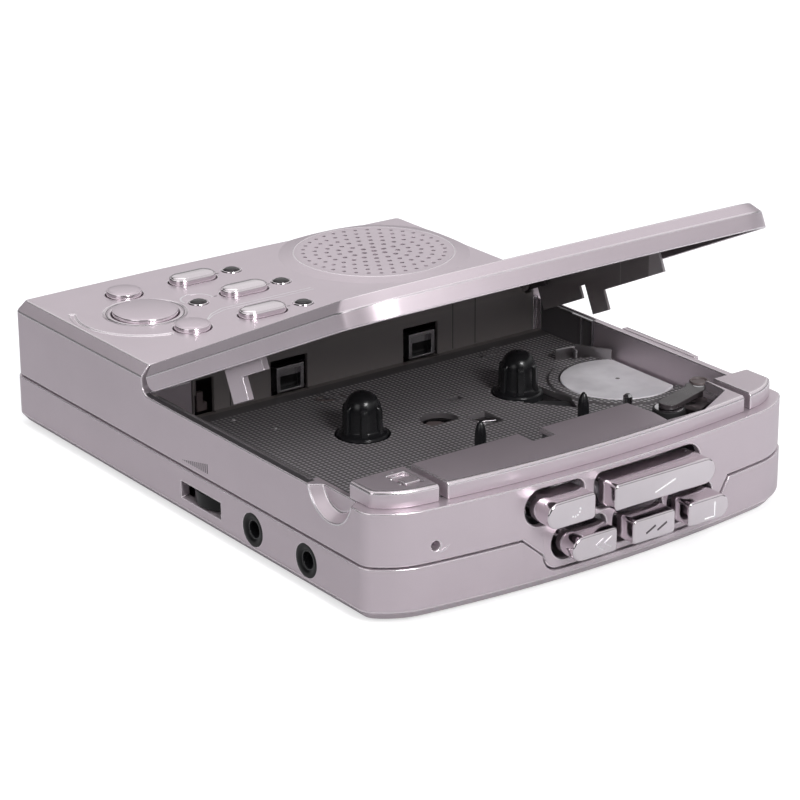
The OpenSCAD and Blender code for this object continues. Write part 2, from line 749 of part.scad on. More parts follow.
module battery_door() {
  color("silver") {
    intersection() {
      lower_outside();
      block(door_left, door_right, door_y, back_y + overrun, base_z - overrun, base_z + door_t);
    }
    block(door_left - door_tongue, door_left + skin, door_y, back_y - wall, base_z + floor_t * 0.4 + move_gap / 2,
      base_z + door_t);
    block(door_right - skin, door_right + door_tongue, door_y, back_y - wall, base_z + floor_t * 0.4 + move_gap / 2,
      base_z + door_t);
  }
}

bay_low = base_z + door_t + move_gap;
bay_high = bay_low + bay_h;
bay_right = -bay_left + bay_l;
bay_flange = 3 * bay_wall;

module battery_bay() {
  color("dimgray") {
    difference() {
      block(-bay_left - bay_wall, bay_right + bay_wall, bay_y - bay_wall, bay_y + bay_w + bay_wall, bay_low,
        bay_high + bay_wall);
      block(-bay_left, bay_right, bay_y, bay_y + bay_w, bay_low - overrun, bay_high);
    }
    for (x = [-bay_left - bay_wall - bay_flange, bay_right + bay_wall])
      block(x, x + bay_flange, bay_y, bay_y + bay_w, floor_z, floor_z + bay_wall);
  }
}

contact_t = 0.4;
contact_w_share = 0.38;

module battery_contacts() {
  color("lightgray") for (side = [0, 1], end = [0, 1]) {
    x = end == 0 ? -bay_left : bay_right - contact_t;
    y = bay_y + bay_w * (side + 0.5) / 2;
    block(x, x + contact_t, y - bay_w * contact_w_share / 2, y + bay_w * contact_w_share / 2,
      bay_low + bay_h * 0.15, bay_low + bay_h * 0.85);
    if (end == side) translate([x + contact_t / 2, y, bay_low + bay_h / 2]) rotate([0, end == 0 ? 90 : -90, 0])
      cylinder(r1 = bay_h * 0.3, r2 = bay_h * 0.18, h = contact_t * 4, $fn = round_steps);
  }
}

// Deck tray

deck_front_y = key_back_y + key_travel + 2 * rail_t + move_gap;
tray_left = in_left + fit_gap;
tray_right = in_right - fit_gap;
side_wall_y = 10.4;
side_wall_back = panel_y - panel_fillet - 2 * fit_gap;
hub_hole_r = spindle_r * 1.38;
hub_base_r = spindle_r * 1.28;
tray_back_top = plate_z - move_gap;

module tray_holes(z0, z1) {
  for (x = [-hub_x, hub_x]) rod(x, 0, hub_hole_r, z0, z1);
  rod(motor_x, motor_y, motor_r + motor_gap, z0, z1);
  rod(capstan_x, capstan_y, 2.6 * capstan_r, z0, z1);
  // Half-round hole over the idler
  intersection() {
    rod(-idler_left, -idler_front + idler_r * 0.78, idler_r * 0.56, z0, z1);
    block(-idler_left - idler_r, -idler_left + idler_r, -idler_front + idler_r * 0.5, 2 * idler_r, z0, z1);
  }
  // Square hole behind it
  block(0.8 * idler_r, 1.2 * idler_r, 0.53 * idler_r, 0.8 * idler_r, z0, z1);
}

lever_slot_shares = [[0.42, -0.14], [0.64, 0], [0.655, -0.25], [0.6, -0.365]];

module deck_tray() {
  color("dimgray") difference() {
    union() {
      block(tray_left, tray_right, platform_y, back_wall_y - fit_gap, tray_low, 0);
      block(-cover_left + move_gap, cover_right - move_gap, deck_front_y, platform_y + skin, tray_low, 0);
      block(tray_left, tray_left + tray_wall, -scoop_front + scoop_r + 1.1 * wall, back_wall_y - fit_gap,
        tray_low, rim_z - fit_gap);
      block(-back_silver_x + fit_gap, right_ear_x + 2 * ear_t - fit_gap, back_wall_y - 2 * fit_gap,
        back_wall_y + tray_wall, tray_low, tray_back_top);
      // Right side wall at the back
      block(tray_right - skin, in_right + tray_wall, side_wall_y, side_wall_back, tray_low, 0);
      block(in_right, in_right + tray_wall, side_wall_y, side_wall_back, tray_low, rim_z - fit_gap);
      // Raised collar round the motor
      intersection() {
        translate([motor_x, motor_y, -skin])
          cylinder(r1 = collar_r + skin, r2 = collar_r - motor_top, h = motor_top + skin, $fn = 2 * round_steps);
        block(tray_left, tray_right, platform_y, back_wall_y, -skin, motor_top);
      }
      // Raised oval pads
      for (p = pad_shares) translate([p.x * hub_gap, p.y * hub_gap, 0]) rotate([0, 0, p.z])
        linear_extrude(tray_wall / 2) pill_shape(pad_l, pad_w);
      // Lugs that hold the hinge pins
      for (x = [left_lug_x, right_lug_x]) {
        block(x, x + ear_t, back_wall_y + skin, hinge_y + 1.7 * ear_r, window_h * 0.5, plate_z - fit_gap);
        rod_x(hinge_y, hinge_z, ear_r, x, x + ear_t);
      }
    }
    for (x = [left_lug_x, right_lug_x]) rod_x(hinge_y, hinge_z, hinge_pin_r, x - overrun, x + hinge_pin_l + fit_gap);
    rod(arm_pivot_x, -arm_pivot_front, arm_pin_r, tray_low - overrun, overrun);
    tray_holes(tray_low - overrun, tray_wall + overrun);
    // Long slot over the chassis
    block(0.13 * hub_x, 0.37 * hub_x, -0.56 * hub_x, -0.24 * hub_x, tray_low - overrun, overrun);
    translate([0, 0, tray_low - overrun]) linear_extrude(tray_t + 2 * overrun)
      polygon([for (s = lever_slot_shares) [s.x * hub_gap, s.y * hub_gap]]);
    // Windows in the back wall
    for (w = [[-spring_left_x, spring_w], [spring_right_x, spring_w], [-hinge_window_x, hinge_window_w]])
      block(w[0], w[0] + w[1], back_wall_y - overrun, back_wall_y + tray_wall + skin / 2, -tray_wall / 2, window_h);
    // Room for the ears of the lid
    for (x = [left_ear_x, right_ear_x]) block(x - move_gap, x + ear_t + move_gap, back_wall_y - overrun,
      back_wall_y + tray_wall + overrun, hinge_z - ear_r - 2 * move_gap, plate_z + overrun);
    for (s = [-1, 1]) rod(s * pin_gap / 2, pin_y, pin_r, tray_low - overrun, overrun);
  }
}

pad_shares = [[-0.33, 0.506, 110], [0.753, 0.553, 20]];
pad_l = 7.4;
pad_w = 2.6;

module pill_shape(l, w) {
  square([l - w, w], center = true);
  for (s = [-1, 1]) translate([s * (l - w) / 2, 0]) circle(d = w, $fn = round_steps);
}

module pill(grow) {
  pill_shape(pill_l + 2 * grow, pill_w + 2 * grow);
}

module chassis_plate() {
  color("lightgray") difference() {
    union() {
      block(in_left + 2 * wall, in_right - fit_gap, platform_y + 2 * wall, back_wall_y - 2 * wall, chassis_low, tray_low);
      block(-cover_left * 0.62, cover_right * 0.8, rail_back_y, platform_y + 3 * wall, chassis_low, tray_low);
      rod(arm_pivot_x, -arm_pivot_front, arm_pin_r, chassis_low, arm_high + arm_t);
    }
    for (x = [-hub_x, hub_x]) rod(x, 0, spindle_shaft_r + run_gap, chassis_low - overrun, tray_low + overrun);
    rod(capstan_x, capstan_y, capstan_r + run_gap, chassis_low - overrun, tray_low + overrun);
    rod(-idler_left, -idler_front, capstan_r + run_gap, chassis_low - overrun, tray_low + overrun);
    rod(motor_x, motor_y, motor_r + fit_gap, chassis_low - overrun, tray_low + overrun);
    intersection() {
      rod(-idler_left, -idler_front + idler_r * 0.78, idler_r * 0.56, chassis_low - overrun, tray_low + overrun);
      block(-idler_left - idler_r, -idler_left + idler_r, -idler_front + idler_r * 0.5, 2 * idler_r,
        chassis_low - overrun, tray_low + overrun);
    }
    for (s = [-1, 1]) rod(s * pin_gap / 2, pin_y, pin_r, chassis_low - overrun, tray_low + overrun);
  }
}

module guide_pins() {
  tip = 2 * pin_r;
  color("black") for (s = [-1, 1]) {
    rod(s * pin_gap / 2, pin_y, pin_r, chassis_low, pin_h - tip);
    translate([s * pin_gap / 2, pin_y, pin_h - tip]) cylinder(r1 = pin_r, r2 = pin_r * 0.25, h = tip, $fn = round_steps);
  }
}

fin_t = 1.2;
fins = 6;

module spindle(x) {
  core_r = spindle_r * 0.72;
  core_z = spindle_h * 0.8;
  rod(x, 0, reel_wheel_r, reel_low, reel_high);
  rod(x, 0, spindle_shaft_r, reel_high - skin, skin);
  rod(x, 0, hub_base_r, tray_low + fit_gap * 2, move_gap);
  rod(x, 0, core_r, 0, core_z);
  translate([x, 0, core_z]) cylinder(r1 = core_r, r2 = core_r * 0.45, h = spindle_h - core_z, $fn = round_steps);
  for (i = [0 : fins - 1]) translate([x, 0, 0]) rotate([0, 0, 360 * i / fins])
    block(0, spindle_r, -fin_t / 2, fin_t / 2, skin, core_z * 0.86);
}

module left_spindle() {
  color("black") spindle(-hub_x);
}

module right_spindle() {
  color("black") spindle(hub_x);
}

module idler_wheel() {
  color("saddlebrown") {
    rod(-idler_left, -idler_front, idler_r, reel_low, reel_high);
    rod(-idler_left, -idler_front, capstan_r, reel_high - skin, tray_low - fit_gap);
  }
}

module capstan() {
  color("lightgray") {
    rod(capstan_x, capstan_y, capstan_r, capstan_low, capstan_h - capstan_r / 2);
    translate([capstan_x, capstan_y, capstan_h - capstan_r / 2])
      cylinder(r1 = capstan_r, r2 = capstan_r / 2, h = capstan_r / 2, $fn = round_steps);
  }
}

module flywheel() {
  color("gray") difference() {
    rod(capstan_x, capstan_y, flywheel_r, flywheel_low, flywheel_high);
    rod(capstan_x, capstan_y, flywheel_r * 0.8, flywheel_low + flywheel_t * 0.6, flywheel_high + overrun);
    rod(capstan_x, capstan_y, capstan_r, flywheel_low - overrun, flywheel_high + overrun);
  }
  color("gray") difference() {
    rod(capstan_x, capstan_y, 3 * capstan_r, flywheel_low + flywheel_t * 0.5, flywheel_high + wall);
    rod(capstan_x, capstan_y, capstan_r, flywheel_low - overrun, flywheel_high + wall + overrun);
  }
}

motor_shaft_r = 1;

module motor() {
  color("gainsboro") difference() {
    intersection() {
      rod(motor_x, motor_y, motor_r, motor_top - motor_h, motor_top);
      block(motor_x - 2 * motor_r, motor_flat_x, motor_y - 2 * motor_r, motor_y + 2 * motor_r,
        motor_top - motor_h - overrun, motor_top + overrun);
    }
    rod(motor_x, motor_y, motor_shaft_r + run_gap, motor_top - motor_h - overrun, motor_top - motor_h * 0.4);
  }
}

module motor_pulley() {
  color("goldenrod") {
    rod(motor_x, motor_y, motor_shaft_r, flywheel_low, motor_top - motor_h * 0.6);
    rod(motor_x, motor_y, pulley_r, flywheel_low, pulley_high);
  }
}

module belt_shape(r0, r1) {
  hull() {
    translate([capstan_x, capstan_y]) circle(r = r0, $fn = 2 * round_steps);
    translate([motor_x, motor_y]) circle(r = r1, $fn = 2 * round_steps);
  }
}

module drive_belt() {
  color("black") translate([0, 0, flywheel_low + belt_h * 0.2]) linear_extrude(belt_h * 0.6) difference() {
    belt_shape(flywheel_r + run_gap + belt_t, pulley_r + run_gap + belt_t);
    belt_shape(flywheel_r + run_gap, pulley_r + run_gap);
  }
}

// Pinch arm and roller

arm_pin_r = 1.2;
arm_low = 1;
roller_low = arm_low + arm_t + fit_gap * 2;
arm_high = roller_low + roller_h + fit_gap * 2;
broad_z = 3.9;
broad_shares = [[-0.47, 0.23], [0.06, 0.385], [0.32, 0.34], [0.25, 0], [0.02, -0.295], [-0.28, -0.45]];
arm_end_r = 2.9;
arm_tip_r = 2.2;
roller_pin_r = 0.9;
roller_x = arm_pivot_x - arm_l * cos(arm_angle);
roller_y = -arm_pivot_front - arm_l * sin(arm_angle);

module arm_plate(z0, z1) {
  rod(arm_pivot_x, -arm_pivot_front, arm_end_r, z0, z1);
  rod(roller_x, roller_y, arm_tip_r, z0, z1);
  translate([arm_pivot_x, -arm_pivot_front, z0]) rotate([0, 0, 180 + arm_angle])
    translate([0, -arm_tip_r, 0]) cube([arm_l, 2 * arm_tip_r, z1 - z0]);
}

module pinch_arm() {
  color("rosybrown") difference() {
    union() {
      arm_plate(arm_low, arm_low + arm_t);
      arm_plate(arm_high, arm_high + arm_t);
      translate([arm_pivot_x, -arm_pivot_front, broad_z]) linear_extrude(arm_t) polygon(broad_shares * arm_l);
      rod(arm_pivot_x, -arm_pivot_front, arm_end_r, arm_low, arm_high + arm_t);
      rod(roller_x, roller_y, roller_pin_r, arm_low, arm_high + arm_t);
    }
    rod(arm_pivot_x, -arm_pivot_front, arm_pin_r + run_gap, arm_low - overrun, arm_high + arm_t + overrun);
  }
}

module pinch_roller() {
  color("black") difference() {
    rod(roller_x, roller_y, roller_r, roller_low, roller_low + roller_h);
    rod(roller_x, roller_y, roller_pin_r + run_gap, roller_low - overrun, roller_low + roller_h + overrun);
  }
}

// Sliding carriage with the heads

carriage_gap = 8.2;
carriage_back_y = -pin_front - pin_r - carriage_gap;
carriage_front_y = shank_end_y + key_travel + move_gap;
head_top = platform_z - cover_t - move_gap;
head_w = 12;
erase_w = 5;
erase_x = -22;
plate_thin = 1;

module head_carriage() {
  color("lightgray") block(erase_x - plate_thin, head_w * 0.75, carriage_front_y, carriage_back_y, move_gap,
    move_gap + plate_thin);
}

module play_head() {
  z0 = move_gap + plate_thin;
  color("silver") {
    block(-head_w / 2, head_w / 2, carriage_front_y, carriage_back_y - plate_thin, z0, head_top);
    intersection() {
      rod(0, carriage_back_y - head_w / 2 + plate_thin, head_w / 2, z0, head_top);
      block(-head_w / 2, head_w / 2, carriage_back_y - plate_thin - skin, carriage_back_y + head_w, z0, head_top);
    }
  }
}

module erase_head() {
  z0 = move_gap + plate_thin;
  color("gray") block(erase_x, erase_x + erase_w, carriage_front_y, carriage_back_y, z0, head_top - plate_thin);
}

module key_rail() {
  color("lightgray") difference() {
    block(-record_left - wall, stop_x + stop_w + wall, rail_y, rail_back_y, dip_low + wall,
      upper_row_h - upper_row_below);
    for (k = key_rows) block(shank_x(k) - move_gap, shank_x(k) + k[2] * shank_w_share + move_gap, rail_y - overrun,
      rail_back_y + overrun, shank_z(k) - move_gap, shank_z(k) + k[3] * shank_share + move_gap);
  }
}

module record_key() {
  color("gainsboro") key(key_rows[0]);
}

module play_key() {
  color("gainsboro") key(key_rows[1]);
}

module rewind_key() {
  color("gainsboro") key(key_rows[2]);
}

module forward_key() {
  color("gainsboro") key(key_rows[3]);
}

module stop_key() {
  color("gainsboro") key(key_rows[4]);
}

// Chrome clips that press the cassette forward

clip_w_share = 0.74;
clip_t = 0.9;
clip_h = 6.4;

module leaf_springs() {
  color("gainsboro") for (x = [-spring_left_x, spring_right_x]) {
    x0 = x + spring_w * (1 - clip_w_share) / 2;
    x1 = x0 + spring_w * clip_w_share;
    y0 = back_wall_y + tray_wall + fit_gap;
    difference() {
      block(x0, x1, y0 - 2 * tray_wall, y0, tray_wall / 2, clip_h);
      block(x0 + clip_t, x1 - clip_t, y0 - 3 * tray_wall, y0 + overrun, clip_t, clip_h - clip_t);
    }
    block(x0 + clip_t - skin, x1 - clip_t + skin, y0 - tray_wall * 0.4, y0, clip_h * 0.55, clip_h - clip_t + skin);
    block(x0 - spring_w * (1 - clip_w_share), x1 + spring_w * (1 - clip_w_share), y0, y0 + clip_t * 0.6,
      tray_wall / 2, clip_h);
  }
}

// Head platform

module platform_block(x0, x1, z0, z1) {
  intersection() {
    hull() {
      slab(platform_in, z0, z1 - platform_round);
      slab(platform_in + platform_round, z1 - skin, z1);
    }
    block(x0, x1, front_y, platform_y, z0, z1);
  }
}

roller_cut_shares = [[0.43, 0], [0.45, 0.55], [0.435, 0.88], [0.69, 0.88], [0.97, 0.47], [0.985, 0]];
cover_depth = -platform_back - front_y;

module head_cover() {
  color("silver") difference() {
    platform_block(-cover_left, cover_right, rim_z, platform_z);
    intersection() {
      slab(platform_in + cover_t, rim_z - overrun, platform_z - cover_t);
      block(-cover_left + cover_t, cover_right - cover_t, front_y, platform_y + overrun, rim_z - overrun,
        platform_z - cover_t);
    }
    block(-notch_left, -notch_left + notch_w, platform_y - notch_d, platform_y + overrun, rim_z, platform_z + overrun);
    translate([0, 0, platform_z - cover_t - overrun]) linear_extrude(cover_t + 2 * overrun) polygon(concat(
      [for (s = roller_cut_shares) [s.x * cover_right, platform_y - s.y * cover_depth * 0.83]],
      [[0.985 * cover_right, platform_y + overrun], [0.43 * cover_right, platform_y + overrun]]));
  }
}

switch_slot_w = switch_knob_w + 2 * move_gap;
switch_in = 1.5;
switch_front_gap = 2.4;
switch_recess = 0.9;
switch_slot_x = -cover_left - groove_w - switch_slot_w - switch_in;
switch_slot_y = platform_y - switch_slot_l - switch_front_gap;
switch_floor = platform_z - switch_recess;

module left_corner_block() {
  color("silver") difference() {
    platform_block(left_x, -cover_left - groove_w, rim_z, platform_z);
    block(switch_slot_x, switch_slot_x + switch_slot_w, switch_slot_y, switch_slot_y + switch_slot_l,
      switch_floor, platform_z + overrun);
  }
}

module right_corner_block() {
  color("silver") platform_block(cover_right + groove_w, right_x, rim_z, platform_z);
}

module corner_switch() {
  color("gainsboro") block(switch_slot_x + move_gap, switch_slot_x + move_gap + switch_knob_w,
    switch_slot_y + move_gap, switch_slot_y + move_gap + switch_knob_l, switch_floor + fit_gap / 2, platform_z + move_gap);
}

// Lid, drawn closed and then raised about its hinge

module raised() {
  translate([0, hinge_y, hinge_z]) rotate([-lid_angle, 0, 0]) translate([0, -hinge_y, -hinge_z]) children();
}

module lid_outside() {
  difference() {
    hull() {
      slab(lid_in, lid_z, chamfer_z);
      slab(chamfer_in, top_z - skin, top_z);
    }
    behind(lid_rear, lid_z - overrun, top_z + overrun);
    difference() {
      block(left_x - overrun, right_x + overrun, lid_rear - lid_round, lid_rear + overrun, lid_z - overrun,
        lid_z + lid_round);
      rod_x(lid_rear - lid_round, lid_z + lid_round, lid_round, left_x - 2 * overrun, right_x + 2 * overrun);
    }
  }
}

// Pockets round the hinge lugs and ears
module hinge_pockets() {
  for (x = [left_lug_x, right_lug_x])
    rod_x(hinge_y, hinge_z, ear_r + move_gap, x - move_gap, x + hinge_pin_l + move_gap);
}

lid_inner = top_z - lid_top_t;
liner_z = lid_inner - liner_t;

module lid_shell() {
  color("silver") raised() difference() {
    lid_outside();
    slab(lid_in + lid_wall, lid_z - overrun, chamfer_z - skin);
    slab(chamfer_in + lid_wall / 2, lid_z - overrun, lid_inner);
    hinge_pockets();
  }
}

liner_shelf_z = chamfer_z - liner_edge * 0.75;

module lid_liner() {
  edge_in = lid_in + lid_wall + fit_gap / 2;
  riser_in = chamfer_in + lid_wall / 2 + fit_gap / 2;
  color("dimgray") raised() difference() {
    union() {
      difference() {
        slab(edge_in, lid_z + move_gap / 2, chamfer_z - 1.5 * skin);
        slab(edge_in + liner_edge, lid_z - overrun, liner_shelf_z);
      }
      slab(riser_in, liner_shelf_z, lid_inner);
    }
    slab(riser_in + liner_edge, lid_z - overrun, liner_z);
    behind(lid_rear - lid_round, lid_z - overrun, chamfer_z - skin);
    behind(lid_rear - fit_gap, chamfer_z - overrun, top_z);
    hinge_pockets();
  }
}

leg_rear = 4.8;
leg_low = 0.5;
right_leg_low = 0.3;
left_arm_in = 2.8;
left_arm_x = in_left + left_arm_in;
right_arm_x = in_right - move_gap - right_arm_t;
right_leg_rear = 12.5;
rear_plate_back = lid_rear - 2 * fit_gap;
link_z = lid_z - tray_wall / 2;
right_strip_z = strip_z - leg_low;

module left_arm() {
  color("silver") raised() {
    block(left_arm_x, left_arm_x + left_arm_t, leg_rear - left_strip_l, leg_rear, strip_z, liner_z);
    block(left_arm_x, left_arm_x + left_arm_t, leg_rear - left_leg_w, leg_rear, leg_low, strip_z + skin);
  }
}

module right_arm() {
  color("dimgray") raised() {
    x1 = right_arm_x + right_arm_t;
    block(right_arm_x, x1, right_leg_rear - right_strip_l, right_leg_rear, right_strip_z, liner_shelf_z);
    block(right_arm_x, x1, right_leg_rear - right_leg_w, right_leg_rear, right_leg_low, right_strip_z + skin);
    block(right_arm_x, x1, right_leg_rear - skin, rear_plate_back, link_z, liner_shelf_z);
    block(right_arm_x, x1, rear_plate_y, rear_plate_back, rear_plate_z, link_z + skin);
  }
}

left_ear_in = 1.4;
right_ear_in = 3.3;
left_ear_x = -hinge_window_x + left_ear_in;
right_ear_x = in_right - right_ear_in;
left_lug_x = left_ear_x - ear_t - move_gap;
right_lug_x = right_ear_x - ear_t - move_gap;
hinge_pin_l = 2 * ear_t + 1.5 * move_gap;
ear_front_y = 24;

module hinge_ears() {
  color("dimgray") raised() for (x = [left_ear_x, right_ear_x]) difference() {
    union() {
      rod_x(hinge_y, hinge_z, ear_r, x, x + ear_t);
      block(x, x + ear_t, ear_front_y, hinge_y, hinge_z - ear_r, liner_z);
    }
    rod_x(hinge_y, hinge_z, hinge_pin_r + run_gap, x - overrun, x + ear_t + overrun);
  }
}

module hinge_pins() {
  color("lightgray") for (x = [left_lug_x, right_lug_x])
    rod_x(hinge_y, hinge_z, hinge_pin_r, x, x + hinge_pin_l);
}

// Panel controls

// Places from the round button's middle, as shares of the distance between the rows
small_shares = [[0.2, 0.947], [0.207, -1]];
pill_shares = [[1.42, 0.913], [1.767, -0.02], [1.42, -1.053]];
lens_shares = [[2.153, 0.933], [2.467, 0], [2.16, -1.06], [0.893, -0.087]];

function from_dial(shares) = [for (s = shares) [-dial_left + s.x * button_pitch, dial_y + s.y * button_pitch]];

small_places = from_dial(small_shares);
pill_places = from_dial(pill_shares);
lens_places = from_dial(lens_shares);
switch_high = 9.2;
stem_low = switch_high + button_travel + fit_gap;
flange_t = 1;
flange_z = plate_z - 2 * fit_gap;
flange_w = 0.8;

module panel_grooves() {
  translate([-dial_left, dial_y, top_z - groove_d]) rotate_extrude($fn = 2 * round_steps)
    translate([dial_groove_r - groove_d, 0]) square([2 * groove_d, groove_d + overrun]);
  translate([-dial_left + arc_x, dial_y + arc_y, top_z - groove_d]) rotate([0, 0, arc_start])
    rotate_extrude(angle = arc_sweep, $fn = 2 * round_steps) translate([arc_groove_r, 0])
      square([arc_groove_w, groove_d + overrun]);
}

arc_groove_r = 16.2;
arc_groove_w = 1.3;
arc_x = 0.8;
arc_y = 0.5;
arc_start = 150;
arc_sweep = 108;

module round_button(x, y, r, h) {
  rod(x, y, r, flange_z - flange_t, top_z + h);
  rod(x, y, r + flange_w, flange_z - flange_t, flange_z);
  rod(x, y, r * 0.35, stem_low, flange_z);
}

module dial_button() {
  color("silver") round_button(-dial_left, dial_y, dial_r, dial_h);
}

module rear_button() {
  color("silver") round_button(small_places[0].x, small_places[0].y, small_r, small_h);
}

module front_button() {
  color("silver") round_button(small_places[1].x, small_places[1].y, small_r, small_h);
}

module pill_button(i) {
  p = pill_places[i];
  color("gainsboro") {
    translate([p.x, p.y, flange_z - flange_t]) linear_extrude(top_z + pill_h - flange_z + flange_t) pill(0);
    translate([p.x, p.y, flange_z - flange_t]) linear_extrude(flange_t) pill(flange_w);
    rod(p.x, p.y, pill_w * 0.25, stem_low, flange_z);
  }
}

module rear_pill() {
  pill_button(0);
}

module middle_pill() {
  pill_button(1);
}

module front_pill() {
  pill_button(2);
}

module lamp_lenses() {
  color("dimgray") for (p = lens_places) {
    rod(p.x, p.y, lens_r, plate_z - skin, top_z + skin);
    rod(p.x, p.y, lens_r + flange_w / 2, plate_z - flange_t, plate_z);
  }
}

// Circuit board with its switches

board_left = in_left + 2 * wall;
board_in = 4;
board_right = bay_right - board_in;
board_front = 42;
board_back = 85;
board_post_r = 1.8;
board_posts = [
  [board_left + 2 * board_post_r, board_front + 2 * board_post_r],
  [board_right - 1.5 * board_post_r, board_front + 2 * board_post_r],
  [board_right - 1.5 * board_post_r, board_back - 2 * board_post_r]];
switch_w = 4.5;

module circuit_board() {
  color("darkgreen") difference() {
    block(board_left, board_right, board_front, board_back, board_z - board_t, board_z);
    rod(screw_places[2].x, screw_places[2].y, post_r + move_gap, board_z - board_t - overrun, board_z + overrun);
  }
}

module board_switches() {
  color("black") for (p = concat([[-dial_left, dial_y]], small_places, pill_places))
    block(p.x - switch_w / 2, p.x + switch_w / 2, p.y - switch_w / 2, p.y + switch_w / 2, board_z, switch_high);
}

module side_board() {
  color("darkgreen") block(in_left + fit_gap, in_left + side_board_w, -jack_front_front - 2 * jack_r, wheel_y + wheel_r * 1.4,
    side_board_z - board_t, side_board_z);
}

side_board_w = 21;
side_board_z = chassis_low - 2 * board_t / 2;

// Loudspeaker under its grille

module speaker_grille() {
  color("silver") difference() {
    union() {
      intersection() {
        translate([speaker_x, speaker_y, top_z]) cylinder(r1 = grille_foot_r, r2 = grille_r, h = grille_h,
          $fn = 2 * round_steps);
        slab(chamfer_in + skin, top_z, top_z + grille_h);
      }
      rod(speaker_x, speaker_y, grille_r, plate_z, top_z + skin);
    }
    rod(speaker_x, speaker_y, grille_r - wall, plate_z - overrun, top_z - wall / 2);
    for (ring_i = [0 : 6], i = [0 : max(ring_i * 6 - 1, 0)]) {
      a = 360 * i / max(ring_i * 6, 1);
      translate([speaker_x + ring_i * hole_pitch * cos(a), speaker_y + ring_i * hole_pitch * sin(a), plate_z])
        cylinder(r = hole_r * (1 - 0.05 * ring_i), h = plate_t + grille_h + overrun, $fn = 8);
    }
  }
}

basket_top = plate_z;
basket_h = 7.5;
magnet_h = 5;

module speaker_driver() {
  z0 = basket_top - basket_h;
  color("dimgray") translate([speaker_x, speaker_y, 0]) rotate_extrude($fn = 2 * round_steps) polygon([
    [0, z0 - magnet_h], [magnet_r, z0 - magnet_h], [magnet_r, z0], [basket_r - wall, basket_top - wall],
    [basket_r, basket_top - wall], [basket_r, basket_top], [basket_r - wall, basket_top],
    [magnet_r - wall, z0 + wall], [0, z0 + wall]]);
}

module speaker_cone() {
  z0 = basket_top - basket_h;
  color("black") translate([speaker_x, speaker_y, 0]) rotate_extrude($fn = 2 * round_steps) polygon([
    [0, z0 + wall], [magnet_r - wall - 3 * fit_gap, z0 + wall],
    [basket_r - wall - 5 * fit_gap, basket_top - fit_gap * 2],
    [basket_r - 2 * wall, basket_top - fit_gap * 2], [magnet_r - 2 * wall, z0 + 2 * wall], [0, z0 + 3 * wall]]);
}

// Left side

wheel_x = bound_left + wheel_r + fit_gap / 2;
wheel_shaft_r = 1.5;

module volume_wheel() {
  color("black") difference() {
    rod(wheel_x, wheel_y, wheel_r, -jack_below - wheel_t / 2, -jack_below + wheel_t / 2);
    rod(wheel_x, wheel_y, wheel_shaft_r + run_gap, -jack_below - wheel_t, -jack_below + wheel_t);
  }
}

module volume_control() {
  color("gray") {
    block(wheel_x - wheel_r * 0.6, wheel_x + wheel_r * 0.6, wheel_y - wheel_r * 0.6, wheel_y + wheel_r * 0.6,
      -jack_below + wheel_t / 2 + move_gap, side_board_z - board_t);
    rod(wheel_x, wheel_y, wheel_shaft_r, -jack_below - wheel_t / 2 - move_gap, side_board_z - board_t);
    rod(wheel_x, wheel_y, wheel_shaft_r * 1.8, -jack_below - wheel_t / 2 - 3 * move_gap, -jack_below - wheel_t / 2 - move_gap);
  }
}

jack_body = 8.6;
jack_end = in_left + fit_gap + jack_depth;

module jack(y) {
  difference() {
    union() {
      block(in_left + fit_gap, jack_end, y - jack_body / 2, y + jack_body / 2, floor_z, side_board_z - board_t);
      rod_x(y, -jack_below, jack_r, left_x + fit_gap, in_left + 2 * fit_gap);
    }
    rod_x(y, -jack_below, jack_bore_r, left_x - overrun, left_x + fit_gap + jack_depth);
  }
}

module rear_jack() {
  color("black") jack(jack_places[0]);
}

module front_jack() {
  color("black") jack(jack_places[1]);
}

module microphone() {
  color("gray") rod_y(mic_x, mic_z, mic_r, mic_front_y + fit_gap, mic_front_y + mic_l);
}

// Right side

slider_low = 3.2;
slider_high = 7.2;
track_lip = 0.8;
track_lead = 4.2;
stem_rise = 1.2;
track_low = slider_low - track_lip;
track_high = rim_z + fit_gap;
track_front = -slider_front - track_lead;
track_back = -slider_front + slider_l + slider_travel + 2 * move_gap;
slider_stem_y = -slider_front + slider_l * 0.42;
slider_stem_l = slider_l * 0.16;
slider_stem_h = 1.6;
slider_stem_z = slider_low + stem_rise;
pocket_x = right_x + move_gap;

module slider_track() {
  color("dimgray") difference() {
    block(right_x, right_x + track_out, track_front, track_back, track_low, track_high);
    block(pocket_x, right_x + track_out + overrun, -slider_front - move_gap, track_back - move_gap,
      slider_low - move_gap, slider_high + move_gap);
    block(right_x - overrun, right_x + overrun, slider_stem_y - move_gap,
      slider_stem_y + slider_stem_l + slider_travel + move_gap,
      slider_stem_z - move_gap, slider_stem_z + slider_stem_h + move_gap);
  }
}

module side_slider() {
  color("gainsboro") {
    block(pocket_x + move_gap, right_x + slider_out, -slider_front, -slider_front + slider_l, slider_low, slider_high);
    block(right_x - wall * 0.5, pocket_x + move_gap + skin, slider_stem_y, slider_stem_y + slider_stem_l,
      slider_stem_z, slider_stem_z + slider_stem_h);
  }
}

